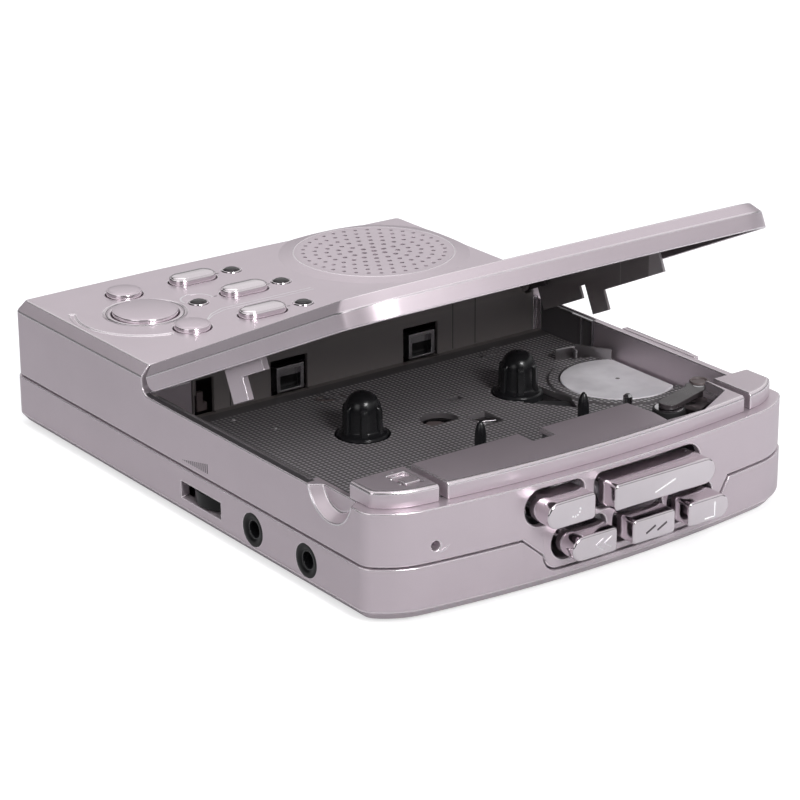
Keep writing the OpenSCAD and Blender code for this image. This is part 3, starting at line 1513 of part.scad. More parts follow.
seat() top_case();
seat() bottom_case();
seat() rubber_feet();
seat() case_screws();
seat() battery_door();
seat() battery_bay();
seat() battery_contacts();
seat() deck_tray();
seat() chassis_plate();
seat() guide_pins();
seat() left_spindle();
seat() right_spindle();
seat() idler_wheel();
seat() capstan();
seat() flywheel();
seat() motor();
seat() motor_pulley();
seat() drive_belt();
seat() pinch_arm();
seat() pinch_roller();
seat() head_carriage();
seat() play_head();
seat() erase_head();
seat() key_rail();
seat() record_key();
seat() play_key();
seat() rewind_key();
seat() forward_key();
seat() stop_key();
seat() leaf_springs();
seat() head_cover();
seat() left_corner_block();
seat() right_corner_block();
seat() corner_switch();
seat() lid_shell();
seat() lid_liner();
seat() left_arm();
seat() right_arm();
seat() hinge_ears();
seat() hinge_pins();
seat() dial_button();
seat() rear_button();
seat() front_button();
seat() rear_pill();
seat() middle_pill();
seat() front_pill();
seat() lamp_lenses();
seat() circuit_board();
seat() board_switches();
seat() side_board();
seat() speaker_grille();
seat() speaker_driver();
seat() speaker_cone();
seat() volume_wheel();
seat() volume_control();
seat() rear_jack();
seat() front_jack();
seat() microphone();
seat() slider_track();
seat() side_slider();
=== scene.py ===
import math
import bpy
import bmesh
from mathutils import Matrix, Vector
from mathutils.bvhtree import BVHTree


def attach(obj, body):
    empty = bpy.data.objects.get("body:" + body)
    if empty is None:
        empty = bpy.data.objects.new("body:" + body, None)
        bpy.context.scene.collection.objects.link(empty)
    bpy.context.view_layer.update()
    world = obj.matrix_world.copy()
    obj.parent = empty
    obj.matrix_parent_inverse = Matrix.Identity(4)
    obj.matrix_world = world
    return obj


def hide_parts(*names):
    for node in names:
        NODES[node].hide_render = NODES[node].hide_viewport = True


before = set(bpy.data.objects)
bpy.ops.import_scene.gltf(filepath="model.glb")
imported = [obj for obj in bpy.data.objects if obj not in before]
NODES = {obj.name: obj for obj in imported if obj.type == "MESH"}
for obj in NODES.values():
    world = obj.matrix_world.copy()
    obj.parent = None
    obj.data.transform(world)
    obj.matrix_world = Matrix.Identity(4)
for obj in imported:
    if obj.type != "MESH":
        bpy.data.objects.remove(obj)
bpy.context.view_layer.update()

# Layout values in millimetres, measured from the middle between the reel hubs on the deck floor
MM = 0.001
SEAT = Vector((0.95, -12.65, 16.2))
HALF_W = 55.05
MID_X = -1.75
LEFT_X = MID_X - HALF_W
FRONT_Y = -59.1
TOP_Z = 13.8
PLATFORM_Z = 11.2
BACK_WALL_Y = 30.72
BACK_WALL_SEAMS_X = (-35.0, 26.4, 32.9)
SIDE_WALL_X = 51.42
HUB_X = 21.25
PIN_X = 13.8
PIN_Y = -31.5
MOTOR_X, MOTOR_Y = 43.4, -8.1
ROLLER = (29.833, -40.567)
ARM_PIVOT = (43.3, -35.2)
SCOOP = (-38.5, 9.2)
SCOOP_R = 7.62
JACK_Z = -9.3
JACKS = (("rear_jack_collar", -11.1), ("front_jack_collar", -30.5))
GRILLE = (29.5, 66.0)
DIAL = (-37.3, 61.8)
# Body, centre, radius of the cap and height of the button's top
ROUND_BUTTONS = (("dial_button", DIAL, 7.2, 14.6), ("rear_button", (-34.3, 76.01), 3.8, 14.8),
                 ("front_button", (-34.2, 46.8), 3.8, 14.8))
PILLS = (("rear_pill", (-16.0, 75.5)), ("middle_pill", (-10.8, 61.5)), ("front_pill", (-16.0, 46.0)))
LENSES = ((-5.0, 75.8), (-0.3, 61.8), (-4.9, 45.9), (-23.9, 60.5))
LENS_DISH = (-23.0, 62.5)
# Zones that a material treats apart, as low and high ends: across, along and up
MESH_ZONE = ((-53.0, 51.0), (-41.0, 26.0), (-0.2, 0.8))
LEFT_RIM_ZONE = ((-60.0, -54.6), (-30.5, 31.2), (7.2, 7.9))
# The same along one axis: the deck's back, the springs' plate, the right arm's end and step, the fork; the
# deck's back and the arm's end and step get painted light
DECK_BACK_LIT_Y = (29.0, 36.0)
SPRING_PLATE_Y = (31.5, 33.0)
ARM_END_LIT_Y = (-16.0, -9.4)
ARM_STEP_LIT_Y = (-0.15, 0.1)
ARM_FORK_Z = (6.2, 9.0)


def at(x, y, z):
    """A point of the layout in the frame's metres."""
    return (Vector((x, y, z)) + SEAT) * MM


# Camera at the photograph's viewing angle: lens in mm, yaw, pitch and roll in degrees, place in the layout
CAMERA_LENS = 126.32
CAMERA_TURN = (-36.174, 20.795, -0.311)
CAMERA_PLACE = (-345.225, -456.707, 220.262)
cam_data = bpy.data.cameras.new("camera")
cam_data.sensor_width = 36.0
cam_data.lens = CAMERA_LENS
cam_data.clip_start = 0.01
cam_data.clip_end = 20.0
cam = bpy.data.objects.new("camera", cam_data)
bpy.context.scene.collection.objects.link(cam)
yaw, pitch, roll = (math.radians(v) for v in CAMERA_TURN)
back = Vector((math.sin(yaw) * math.cos(pitch), -math.cos(yaw) * math.cos(pitch), math.sin(pitch)))
right = Vector((math.cos(yaw), math.sin(yaw), 0.0))
up = back.cross(right)
cam_right = math.cos(roll) * right + math.sin(roll) * up
cam_up = -math.sin(roll) * right + math.cos(roll) * up
turn = Matrix((cam_right, cam_up, back)).transposed().to_4x4()
cam.matrix_world = Matrix.Translation(at(*CAMERA_PLACE)) @ turn
bpy.context.scene.camera = cam
bpy.context.scene.view_settings.view_transform = "Standard"


# Materials

class Mat:
    """A small helper for one node material. Its noise and place follow the object's coordinates."""

    def __init__(self, name):
        self.m = bpy.data.materials.new(name)
        self.m.use_nodes = True
        self.t = self.m.node_tree
        self.n = self.t.nodes
        self.b = self.n["Principled BSDF"]
        self.co = self.n.new("ShaderNodeTexCoord").outputs["Object"]

    def link(self, a, b):
        self.t.links.new(a, b)

    def to(self, socket, value):
        """Links a value to one of the shader's own sockets."""
        self.link(value, self.b.inputs[socket])

    def noise(self, scale, detail=2.0, rough=0.5, stretch=None, co=None):
        co = co or self.co
        if stretch:
            mp = self.n.new("ShaderNodeMapping")
            mp.inputs["Scale"].default_value = stretch
            self.link(co, mp.inputs["Vector"])
            co = mp.outputs["Vector"]
        t = self.n.new("ShaderNodeTexNoise")
        t.inputs["Scale"].default_value = scale
        t.inputs["Detail"].default_value = detail
        t.inputs["Roughness"].default_value = rough
        self.link(co, t.inputs["Vector"])
        return t.outputs["Fac"]

    def ramp(self, fac, stops):
        r = self.n.new("ShaderNodeValToRGB")
        for el, (p, c) in zip(r.color_ramp.elements, stops):
            el.position = p
            el.color = (*c, 1.0)
        self.link(fac, r.inputs["Fac"])
        return r.outputs["Color"]

    def cloud(self, scale, detail, low, high, edges=(0.3, 0.7)):
        """Soft change between two colours."""
        return self.ramp(self.noise(scale, detail), list(zip(edges, (low, high))))

    def maths(self, op, a, b=None, c=None):
        m = self.n.new("ShaderNodeMath")
        m.operation = op
        for s, v in zip(m.inputs, (a, b, c)):
            if v is None:
                continue
            if isinstance(v, (int, float)):
                s.default_value = v
            else:
                self.link(v, s)
        return m.outputs[0]

    def times(self, *v):
        out = v[0]
        for w in v[1:]:
            out = self.maths("MULTIPLY", out, w)
        return out

    def mix(self, fac, a, b, kind="MIX"):
        m = self.n.new("ShaderNodeMix")
        m.data_type = "RGBA"
        m.blend_type = kind
        for s, v in ((m.inputs[0], fac), (m.inputs[6], a), (m.inputs[7], b)):
            if isinstance(v, tuple):
                s.default_value = (*v, 1.0)
            else:
                self.link(v, s)
        return m.outputs[2]

    def spread(self, fac, low, high):
        m = self.n.new("ShaderNodeMapRange")
        m.inputs["To Min"].default_value = low
        m.inputs["To Max"].default_value = high
        self.link(fac, m.inputs["Value"])
        return m.outputs[0]

    def bump(self, height, strength, distance):
        b = self.n.new("ShaderNodeBump")
        b.inputs["Strength"].default_value = strength
        b.inputs["Distance"].default_value = distance
        self.link(height, b.inputs["Height"])
        self.to("Normal", b.outputs["Normal"])

    def rubbed(self, base, share, colour):
        """Paler where the surface turns sharply: partly wear, partly a painted highlight."""
        g = self.n.new("ShaderNodeNewGeometry")
        edge = self.ramp(g.outputs["Pointiness"], [(0.5, (0, 0, 0)), (0.62, (1, 1, 1))])
        return self.mix(self.times(edge, share), base, colour)

    def place(self):
        """The object's own coordinates in layout millimetres, as three sockets."""
        sep = self.n.new("ShaderNodeSeparateXYZ")
        self.link(self.co, sep.inputs[0])
        return [self.maths("SUBTRACT", self.maths("DIVIDE", sep.outputs[i], MM), SEAT[i]) for i in range(3)]

    def between(self, v, low, high, soft=0.05):
        """One inside the range, falling to nought over soft at its ends."""
        a = self.maths("SMOOTH_MIN", self.maths("SUBTRACT", v, low), self.maths("SUBTRACT", high, v), 0.01)
        return self.maths("MINIMUM", self.maths("MAXIMUM", self.maths("DIVIDE", a, soft), 0.0), 1.0)

    def facing_up(self):
        g = self.n.new("ShaderNodeNewGeometry")
        sep = self.n.new("ShaderNodeSeparateXYZ")
        self.link(g.outputs["True Normal"], sep.inputs[0])
        return self.maths("GREATER_THAN", sep.outputs[2], 0.8)

    def up_inside(self, place, zone):
        """One on the upward faces inside the zone."""
        return self.times(self.facing_up(), *(self.between(v, *ends) for v, ends in zip(place, zone)))


def srgb(r, g, b):
    """Scene colour of an 8-bit display colour."""
    return tuple(((c / 255 + 0.055) / 1.055) ** 2.4 if c > 10 else c / 255 / 12.92 for c in (r, g, b))


def toned(c, k, lift=0.0):
    """The colour k times as bright, no more than white."""
    return tuple(min(1.0, v * k + lift) for v in c)


METAL_SHARE = 0.65
SILVER = srgb(205, 193, 200)
# A paler silver: the chromed walls of the buttons, and the painted highlight on rounded edges
PALE_SILVER = srgb(236, 228, 233)
RIM_DARK = srgb(62, 60, 62)
# Noise scales, per metre
CLOUDS = 38.0
PLASTIC_CLOUDS = 55.0
METAL_CLOUDS = 70.0
FLAKES = 9000.0
ORANGE_PEEL = 2600.0
PLASTIC_GRAIN = 3200.0
PAINT_SHEEN = 240.0
PLASTIC_SHEEN = 180.0
# Bump heights in metres
PAINT_BUMP = 0.00002
PLASTIC_BUMP = 0.00003
METAL_BUMP = 0.00001


def flaked(m, colour, low, high, flake):
    """Metallic paint: faint clouding and fine dark flake."""
    grain = m.noise(FLAKES, 2.0, 0.7)
    base = m.cloud(CLOUDS, 3.0, toned(colour, low), toned(colour, high))
    return m.mix(m.spread(grain, 0.0, flake), base, toned(colour, 0.55), "MULTIPLY")


def grained(m, low, high, depth, grain=PLASTIC_GRAIN):
    """Roughness between low and high and the bump of moulded plastic."""
    m.to("Roughness", m.spread(m.noise(PLASTIC_SHEEN, 3.0), low, high))
    m.bump(m.noise(grain, 3.0, 0.6), depth, PLASTIC_BUMP)


def painted(name, colour, metal, rough=0.36, edge_wear_and_light=0.25):
    """Sprayed metallic plastic: fine flake, faint clouding and orange peel, and paler edges, partly wear
    and partly a painted highlight.
    """
    m = Mat(name)
    base = flaked(m, colour, 0.96, 1.03, 0.24)
    m.to("Base Color", m.rubbed(base, edge_wear_and_light, toned(colour, 1.35)))
    m.to("Roughness", m.spread(m.noise(PAINT_SHEEN, 3.0), rough - 0.04, rough + 0.05))
    m.bump(m.noise(ORANGE_PEEL), 0.1, PAINT_BUMP)
    m.b.inputs["Metallic"].default_value = metal
    return m.m


def moulded(name, colour, rough=0.45, spread=0.12, grain=PLASTIC_GRAIN, depth=0.25, metal=0.0):
    """Moulded plastic or rubber with a fine grain, uneven sheen and paler edges, partly wear and partly a
    painted highlight.
    """
    m = Mat(name)
    base = m.cloud(PLASTIC_CLOUDS, 4.0, toned(colour, 1 - spread), toned(colour, 1 + spread))
    m.to("Base Color", m.rubbed(base, 0.3, toned(colour, 1.8, 0.01)))
    grained(m, rough - 0.07, rough + 0.08, depth, grain)
    m.b.inputs["Metallic"].default_value = metal
    return m.m


def metal(name, colour, rough=0.2, brushed=None, depth=0.12):
    """Bare or plated metal with fine polishing lines or a faint haze."""
    m = Mat(name)
    m.to("Base Color", m.cloud(METAL_CLOUDS, 3.0, toned(colour, 0.94), toned(colour, 1.06)))
    lines = m.noise(900.0, 3.0, 0.6, brushed) if brushed else m.noise(500.0, 3.0)
    m.to("Roughness", m.spread(lines, max(0.03, rough - 0.05), rough + 0.07))
    m.bump(lines, depth, METAL_BUMP)
    m.b.inputs["Metallic"].default_value = 1.0
    return m.m


def deck_material():
    """Dark moulded floor with a fine grid of small raised dots, plain along its borders; the dots' tips
    carry a painted highlight, the back wall painted light, and the paler edges are partly wear and partly
    painted highlight.
    """
    m = Mat("deck_mesh_plastic")
    colour = srgb(84, 80, 82)
    half_pitch = 0.56
    x, y, z = m.place()
    a, b = (m.maths("PINGPONG", m.maths("DIVIDE", v, half_pitch), 1.0) for v in (x, y))
    meshed = m.up_inside((x, y, z), MESH_ZONE)
    knob = m.times(m.times(a, b), meshed)
    tip = m.maths("MINIMUM", m.times(m.maths("POWER", knob, 1.3), 1.7), 1.0)
    base = m.cloud(PLASTIC_CLOUDS, 4.0, toned(colour, 0.9), toned(colour, 1.1))
    base = m.mix(m.times(meshed, 0.45), base, srgb(44, 42, 44))
    # The dots' tips painted pale: a painted highlight where they catch the light
    base = m.mix(tip, base, srgb(196, 191, 194))
    # The back wall painted lighter: painted light
    base = m.mix(m.between(y, *DECK_BACK_LIT_Y), base, srgb(134, 126, 124))
    m.to("Base Color", m.rubbed(base, 0.3, srgb(120, 116, 118)))
    m.to("Roughness", m.spread(m.noise(PLASTIC_SHEEN, 3.0), 0.36, 0.5))
    m.bump(m.maths("ADD", knob, m.times(m.noise(PLASTIC_GRAIN, 3.0, 0.6), 0.12)), 0.6, 0.00012)
    return m.m


def masked_silver():
    """The case's silver, with the rim's top left of the well in the tray's dark tone, and paler edges,
    partly wear and partly a painted highlight.
    """
    m = Mat("case_silver_paint")
    rim = m.up_inside(m.place(), LEFT_RIM_ZONE)
    base = flaked(m, SILVER, 0.97, 1.03, 0.2)
    m.to("Base Color", m.mix(rim, m.rubbed(base, 0.25, toned(SILVER, 1.35)), RIM_DARK))
    m.to("Roughness", m.spread(m.noise(PAINT_SHEEN, 3.0), 0.33, 0.42))
    m.to("Metallic", m.times(m.maths("SUBTRACT", 1.0, rim), METAL_SHARE))
    m.bump(m.noise(ORANGE_PEEL), 0.1, PAINT_BUMP)
    return m.m


def arm_material():
    """The pinch arm: a brown-grey plate below and a dark fork above, with paler edges, partly wear and
    partly a painted highlight.
    """
    m = Mat("pinch_arm_plastic")
    fork = m.between(m.place()[2], *ARM_FORK_Z)
    base = m.cloud(PLASTIC_CLOUDS, 4.0, srgb(84, 76, 78), srgb(104, 95, 97))
    base = m.rubbed(base, 0.3, srgb(150, 140, 142))
    m.to("Base Color", m.mix(fork, base, srgb(66, 60, 62)))
    grained(m, 0.22, 0.36, 0.12)
    return m.m


def disc_material():
    """Lathe-turned cover of the motor with faint rings and a dark dot in its middle."""
    m = Mat("motor_cover_metal")
    x, y = m.place()[:2]
    dx, dy = m.maths("SUBTRACT", x, MOTOR_X), m.maths("SUBTRACT", y, MOTOR_Y)
    radius = m.maths("SQRT", m.maths("ADD", m.times(dx, dx), m.times(dy, dy)))
    along = m.n.new("ShaderNodeCombineXYZ")
    m.link(radius, along.inputs[0])
    rings = m.noise(9.0, 3.0, co=along.outputs[0])
    base = m.cloud(90.0, 3.0, srgb(226, 221, 226), srgb(254, 250, 254), (0.35, 0.65))
    m.to("Base Color", m.mix(m.maths("LESS_THAN", radius, 0.5), base, srgb(120, 112, 116)))
    m.to("Roughness", m.spread(rings, 0.4, 0.55))
    m.bump(rings, 0.12, PAINT_BUMP)
    m.b.inputs["Metallic"].default_value = 0.05
    return m.m


def button_material():
    """Silver top with a chromed wall round it."""
    m = Mat("button_plating")
    top = m.facing_up()
    base = m.cloud(60.0, 3.0, toned(SILVER, 0.97), toned(SILVER, 1.05))
    m.to("Base Color", m.mix(top, PALE_SILVER, base))
    m.to("Roughness", m.maths("ADD", m.times(top, 0.2), m.spread(m.noise(300.0), 0.06, 0.12)))
    m.to("Metallic", m.maths("SUBTRACT", 1.0, m.times(top, 0.35)))
    m.bump(m.noise(ORANGE_PEEL), 0.05, PAINT_BUMP)
    return m.m


def spring_material():
    """Sprung steel loops; the plate behind them lies in the dark."""
    m = Mat("spring_steel")
    behind = m.between(m.place()[1], *SPRING_PLATE_Y)
    base = m.cloud(METAL_CLOUDS, 3.0, srgb(196, 193, 196), srgb(214, 211, 214))
    m.to("Base Color", m.mix(behind, base, srgb(22, 21, 22)))
    lines = m.noise(900.0, 3.0, 0.6, (1, 1, 6))
    m.to("Roughness", m.spread(lines, 0.16, 0.28))
    m.to("Metallic", m.maths("SUBTRACT", 1.0, behind))
    m.bump(lines, 0.1, METAL_BUMP)
    return m.m


def right_arm_material():
    """Brown-grey arm with painted light on its thinned lead-in end and on its step, and paler edges, partly
    wear and partly a painted highlight.
    """
    m = Mat("arm_brown_plastic")
    y = m.place()[1]
    base = m.cloud(PLASTIC_CLOUDS, 4.0, srgb(112, 102, 102), srgb(126, 116, 116))
    # The thinned lead-in end painted pale: painted light on a face turned to the light
    base = m.mix(m.between(y, *ARM_END_LIT_Y, 0.3), base, srgb(196, 188, 190))
    # A pale band at the step: a painted highlight
    base = m.mix(m.between(y, *ARM_STEP_LIT_Y), base, srgb(176, 168, 170))
    m.to("Base Color", m.rubbed(base, 0.6, srgb(206, 200, 202)))
    grained(m, 0.3, 0.45, 0.15)
    return m.m


silver = painted("silver_paint", SILVER, METAL_SHARE)
# A brighter silver for rounded edges, thin beads and strips: a painted highlight
silver_highlight = painted("highlight_silver_paint", PALE_SILVER, 0.85, rough=0.24, edge_wear_and_light=0.0)
case_silver = masked_silver()
deck_mesh = deck_material()
arm_plastic = arm_material()
disc_metal = disc_material()
button_plating = button_material()
spring_steel = spring_material()
arm_brown = right_arm_material()
chrome = metal("bright_chrome", srgb(227, 219, 224), rough=0.09, depth=0.04)
steel = metal("sprung_steel", srgb(205, 203, 206), rough=0.2, brushed=(1, 8, 1))
shaft = metal("ground_steel", srgb(190, 190, 192), rough=0.22)
wheel_metal = metal("turned_metal", srgb(150, 148, 146), rough=0.3)
bracket_metal = metal("plated_bracket", srgb(176, 172, 174), rough=0.3, brushed=(1, 1, 6))
can_metal = metal("motor_can", srgb(205, 198, 206), rough=0.24)
brass = metal("brass", srgb(200, 165, 95), rough=0.28)
dark = moulded("dark_plastic", srgb(84, 79, 81), rough=0.42)
liner = moulded("liner_plastic", srgb(96, 88, 90), rough=0.42)
black = moulded("black_plastic", srgb(24, 24, 26), rough=0.24, depth=0.05)
jack_black = moulded("jack_black", srgb(13, 13, 14), rough=0.3, depth=0.03)
jack_black.node_tree.nodes["Principled BSDF"].inputs["Specular IOR Level"].default_value = 0.25
mark = moulded("mark_paint", srgb(70, 64, 68), rough=0.5, depth=0.05)
# Pale paint for marks and small studs, also used for thin strips that carry a painted highlight
pale_mark_and_highlight = metal("pale_mark_and_highlight_paint", srgb(238, 234, 238), rough=0.3)
white_mark = moulded("white_mark_paint", srgb(248, 246, 248), rough=0.5, spread=0.02, depth=0.05)
seam_and_hole_shade = moulded("seam_shadow", srgb(36, 34, 35), rough=0.6)
rubber = moulded("belt_rubber", srgb(24, 24, 25), rough=0.75)
roller_rubber = moulded("roller_rubber", srgb(38, 37, 38), rough=0.6)
brown = moulded("brown_plastic", srgb(96, 84, 84), rough=0.42)
lens = moulded("lens_plastic", srgb(20, 15, 19), rough=0.12, depth=0.02)
board = moulded("board_green", srgb(38, 92, 58), rough=0.4)
paper = moulded("paper_cone", srgb(32, 31, 31), rough=0.9, grain=1500.0, depth=0.5)
basket = moulded("speaker_frame", srgb(88, 88, 90), rough=0.4, metal=0.7)

# Finish of each material of the frame, and of the nodes that have one of their own
PLAIN = {
    "silver_plastic": silver, "chromed_plastic": chrome, "sprung_steel": steel, "steel": shaft,
    "flywheel_metal": wheel_metal, "motor_can": can_metal, "brass": brass, "dark_plastic": dark,
    "black_plastic": black, "belt_rubber": rubber, "brown_plastic": brown, "lens_plastic": lens,
    "board_green": board, "speaker_frame": basket, "paper_cone": paper}
BY_NODE = {
    "lid_liner": liner, "pinch_roller": roller_rubber, "deck_tray": deck_mesh, "top_case": case_silver,
    "pinch_arm": arm_plastic, "motor": disc_metal, "slider_track": silver, "corner_switch": silver,
    "dial_button": button_plating, "rear_button": button_plating, "front_button": button_plating,
    "leaf_springs": spring_steel, "right_arm": arm_brown, "volume_wheel": jack_black}

# Rounding of each node's edges in millimetres
BEVELS = {
    "top_case": 0.3, "bottom_case": 0.18, "lid_shell": 0.25, "head_cover": 0.3, "left_corner_block": 0.3,
    "right_corner_block": 0.3, "left_arm": 0.15, "right_arm": 0.12, "deck_tray": 0.12, "lid_liner": 0.08,
    "dial_button": 0.3, "rear_button": 0.3, "front_button": 0.3, "rear_pill": 0.4, "middle_pill": 0.4,
    "front_pill": 0.4, "record_key": 0.5, "play_key": 0.5, "rewind_key": 0.5, "forward_key": 0.5,
    "stop_key": 0.5, "motor": 0.3, "slider_track": 0.15, "side_slider": 0.3, "corner_switch": 0.3,
    "pinch_arm": 0.15, "leaf_springs": 0.12, "volume_wheel": 0.15, "rear_jack": 0.2, "front_jack": 0.2,
    "rubber_feet": 0.2, "battery_door": 0.15, "battery_bay": 0.2, "hinge_ears": 0.15, "left_spindle": 0.2,
    "right_spindle": 0.2, "play_head": 0.2, "erase_head": 0.15, "pinch_roller": 0.2, "flywheel": 0.3,
    "idler_wheel": 0.2}


# Limits of the modifiers: a distance in metres, and angles in degrees
WELD_DISTANCE = 0.000002
FLAT_ANGLE = 0.6
SOLID_EDGE_ANGLE = 35
DETAIL_EDGE_ANGLE = 30
SHARP_ANGLE = 40


def add_bevel(o, width, least_angle):
    """Rounds the edges sharper than the angle by width mm."""
    b = o.modifiers.new("bevel", "BEVEL")
    b.width = width * MM
    b.segments = 2
    b.limit_method = "ANGLE"
    b.angle_limit = math.radians(least_angle)
    return b


def dress(o, material, bevel):
    """Gives a carried-over solid its material, and rounds its edges by bevel mm."""
    o.data.materials.clear()
    o.data.materials.append(material)
    if not bevel:
        return
    o.modifiers.new("weld", "WELD").merge_threshold = WELD_DISTANCE
    if o.name != "bottom_case":
        d = o.modifiers.new("flat", "DECIMATE")
        d.decimate_type = "DISSOLVE"
        d.angle_limit = math.radians(FLAT_ANGLE)
    b = add_bevel(o, bevel, SOLID_EDGE_ANGLE)
    b.use_clamp_overlap = False
    if material in (silver, case_silver):
        # The rounded edges take a brighter silver: a painted highlight along them
        o.data.materials.append(silver_highlight)
        b.material = 1
    o.modifiers.new("normals", "WEIGHTED_NORMAL").keep_sharp = False


for name, o in NODES.items():
    kind = o.data.materials[0].name.split(".")[0]
    dress(o, BY_NODE.get(name, PLAIN[kind]), BEVELS.get(name, 0.0))


# Detail pieces

def piece(name, bm, material, body, smooth=False, bevel=0.0):
    """Makes the mesh an object of the scene that rides on the body."""
    mesh = bpy.data.meshes.new(name)
    bmesh.ops.recalc_face_normals(bm, faces=bm.faces)
    bm.to_mesh(mesh)
    bm.free()
    o = bpy.data.objects.new(name, mesh)
    bpy.context.scene.collection.objects.link(o)
    mesh.materials.append(material)
    if smooth:
        for p in mesh.polygons:
            p.use_smooth = True
        mesh.set_sharp_from_angle(angle=math.radians(SHARP_ANGLE))
    if bevel:
        add_bevel(o, bevel, DETAIL_EDGE_ANGLE)
    if smooth or bevel:
        o.modifiers.new("normals", "WEIGHTED_NORMAL").keep_sharp = True
    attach(o, body)
    return o


def flat(u, v, w):
    return u, v, w


def on_front(u, v, w):
    return u, w, v


def on_side(u, v, w):
    return w, u, v


def add_prism(bm, points, low, high, put=flat):
    """Extrudes an outline; put turns an outline point and a height into layout millimetres."""
    a = [bm.verts.new(at(*put(u, v, low))) for u, v in points]
    b = [bm.verts.new(at(*put(u, v, high))) for u, v in points]
    bm.faces.new(a)
    bm.faces.new(list(reversed(b)))
    for i in range(len(points)):
        j = (i + 1) % len(points)
        bm.faces.new((a[i], b[i], b[j], a[j]))


def round_points(c, ru, rv, n):
    """n points of a circle or ellipse."""
    turns = [2 * math.pi * i / n for i in range(n)]
    return [(c[0] + ru * math.cos(t), c[1] + rv * math.sin(t)) for t in turns]


def arc_points(c, r, start, sweep, n):
    """n + 1 points of an arc, its angles in degrees."""
    turns = [math.radians(start + sweep * i / n) for i in range(n + 1)]
    return [(c[0] + r * math.cos(t), c[1] + r * math.sin(t)) for t in turns]


def stroke(p, q, width):
    """Outline of a straight stroke from p to q."""
    dx, dy = q[0] - p[0], q[1] - p[1]
    k = width / 2 / math.hypot(dx, dy)
    nx, ny = -dy * k, dx * k
    return [(p[0] + nx, p[1] + ny), (p[0] - nx, p[1] - ny), (q[0] - nx, q[1] - ny), (q[0] + nx, q[1] + ny)]


def add_strokes(bm, points, width, low, high, put=flat):
    """A row of strokes along the points."""
    for p, q in zip(points, points[1:]):
        add_prism(bm, stroke(p, q, width), low, high, put)


def join_loops(bm, loops):
    """Faces between rings of as many points each; a ring of one point closes the end."""
    for lo, hi in zip(loops, loops[1:]):
        n = max(len(lo), len(hi))
        for i in range(n):
            j = (i + 1) % n
            if len(lo) == 1:
                bm.faces.new((lo[0], hi[i], hi[j]))
            elif len(hi) == 1:
                bm.faces.new((lo[i], lo[j], hi[0]))
            else:
                bm.faces.new((lo[i], lo[j], hi[j], hi[i]))


def add_lathe(bm, centre, profile, steps, put=flat):
    """Turns a profile of radius and height about the axis through the centre."""
    loops = []
    for r, w in profile:
        ring = round_points(centre, r, r, steps if r else 1)
        loops.append([bm.verts.new(at(*put(u, v, w))) for u, v in ring])
    join_loops(bm, loops)


# Spindle caps: a smooth thimble with six ribs and a small tip
RIBS = 6
RIB_HALF_WIDTH = 0.72
RIB = [(3.0, 0.6), (4.75, 0.6), (4.5, 1.4), (4.45, 5.6), (4.2, 6.4), (3.6, 7.0), (3.0, 7.2)]
THIMBLE = [(5.5, 0.1), (5.4, 0.45), (4.7, 0.7), (4.1, 1.3), (3.95, 2.4), (3.9, 5.2), (3.8, 6.4), (3.5, 7.5),
           (3.0, 8.4), (2.3, 9.05), (1.5, 9.45), (0.8, 9.55), (0.6, 9.6), (0.45, 9.85), (0.0, 9.95)]
for hub_x, body in ((-HUB_X, "left_spindle"), (HUB_X, "right_spindle")):
    bm = bmesh.new()
    add_lathe(bm, (hub_x, 0.0), THIMBLE, 40)
    for ux, uy in round_points((0.0, 0.0), 1.0, 1.0, RIBS):
        add_prism(bm, RIB, -RIB_HALF_WIDTH, RIB_HALF_WIDTH,
                  lambda u, v, w: (hub_x + u * ux - w * uy, u * uy + w * ux, v))
    piece(body + "_cap", bm, black, body, smooth=True, bevel=0.18)

# Guide pins: plain below, tapering to a rounded point
GUIDE_PIN = [(0.0, -2.4), (1.25, -2.4), (1.25, 7.2), (1.22, 8.0), (1.1, 8.9), (0.9, 9.7),
             (0.62, 10.4), (0.36, 10.85), (0.16, 10.98), (0.0, 11.0)]
bm = bmesh.new()
for pin_x in (-PIN_X, PIN_X):
    add_lathe(bm, (pin_x, PIN_Y), GUIDE_PIN, 32)
pins = piece("guide_pins_turned", bm, black, "case", smooth=True)
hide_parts("guide_pins")

# Small raised marks on the front faces of the keys
KEY_FACE = FRONT_Y - 5.1
KEY_MARK = (KEY_FACE - 0.03, KEY_FACE + 0.1, on_front)
bm = bmesh.new()
for k in range(5):
    t = math.radians(-115 + 28 * k)
    dot = (-15.4 + 1.5 * math.cos(t) * 0.9, 2.6 + 1.5 * math.sin(t))
    add_prism(bm, round_points(dot, 0.2, 0.2, 12), *KEY_MARK)
piece("record_mark", bm, white_mark, "record_key")
bm = bmesh.new()
add_strokes(bm, [(5.6, 1.0), (11.0, 2.7)], 0.3, *KEY_MARK)
piece("play_mark", bm, white_mark, "play_key")
bm = bmesh.new()
for x in (-9.8, -7.6):
    add_strokes(bm, [(x, -6.7), (x + 1.9, -5.6)], 0.26, *KEY_MARK)
    add_strokes(bm, [(x, -6.8), (x + 1.9, -7.9)], 0.26, *KEY_MARK)
piece("rewind_mark", bm, pale_mark_and_highlight, "rewind_key")
bm = bmesh.new()
for x in (3.5, 6.5):
    add_strokes(bm, [(x, -7.5), (x + 2.5, -6.3)], 0.45, *KEY_MARK)
piece("forward_mark", bm, mark, "forward_key")
bm = bmesh.new()
add_strokes(bm, [(22.1, -8.4), (22.1, -5.2)], 0.28, *KEY_MARK)
add_strokes(bm, [(19.4, -8.4), (22.1, -8.4)], 0.28, *KEY_MARK)
piece("stop_mark", bm, white_mark, "stop_key")

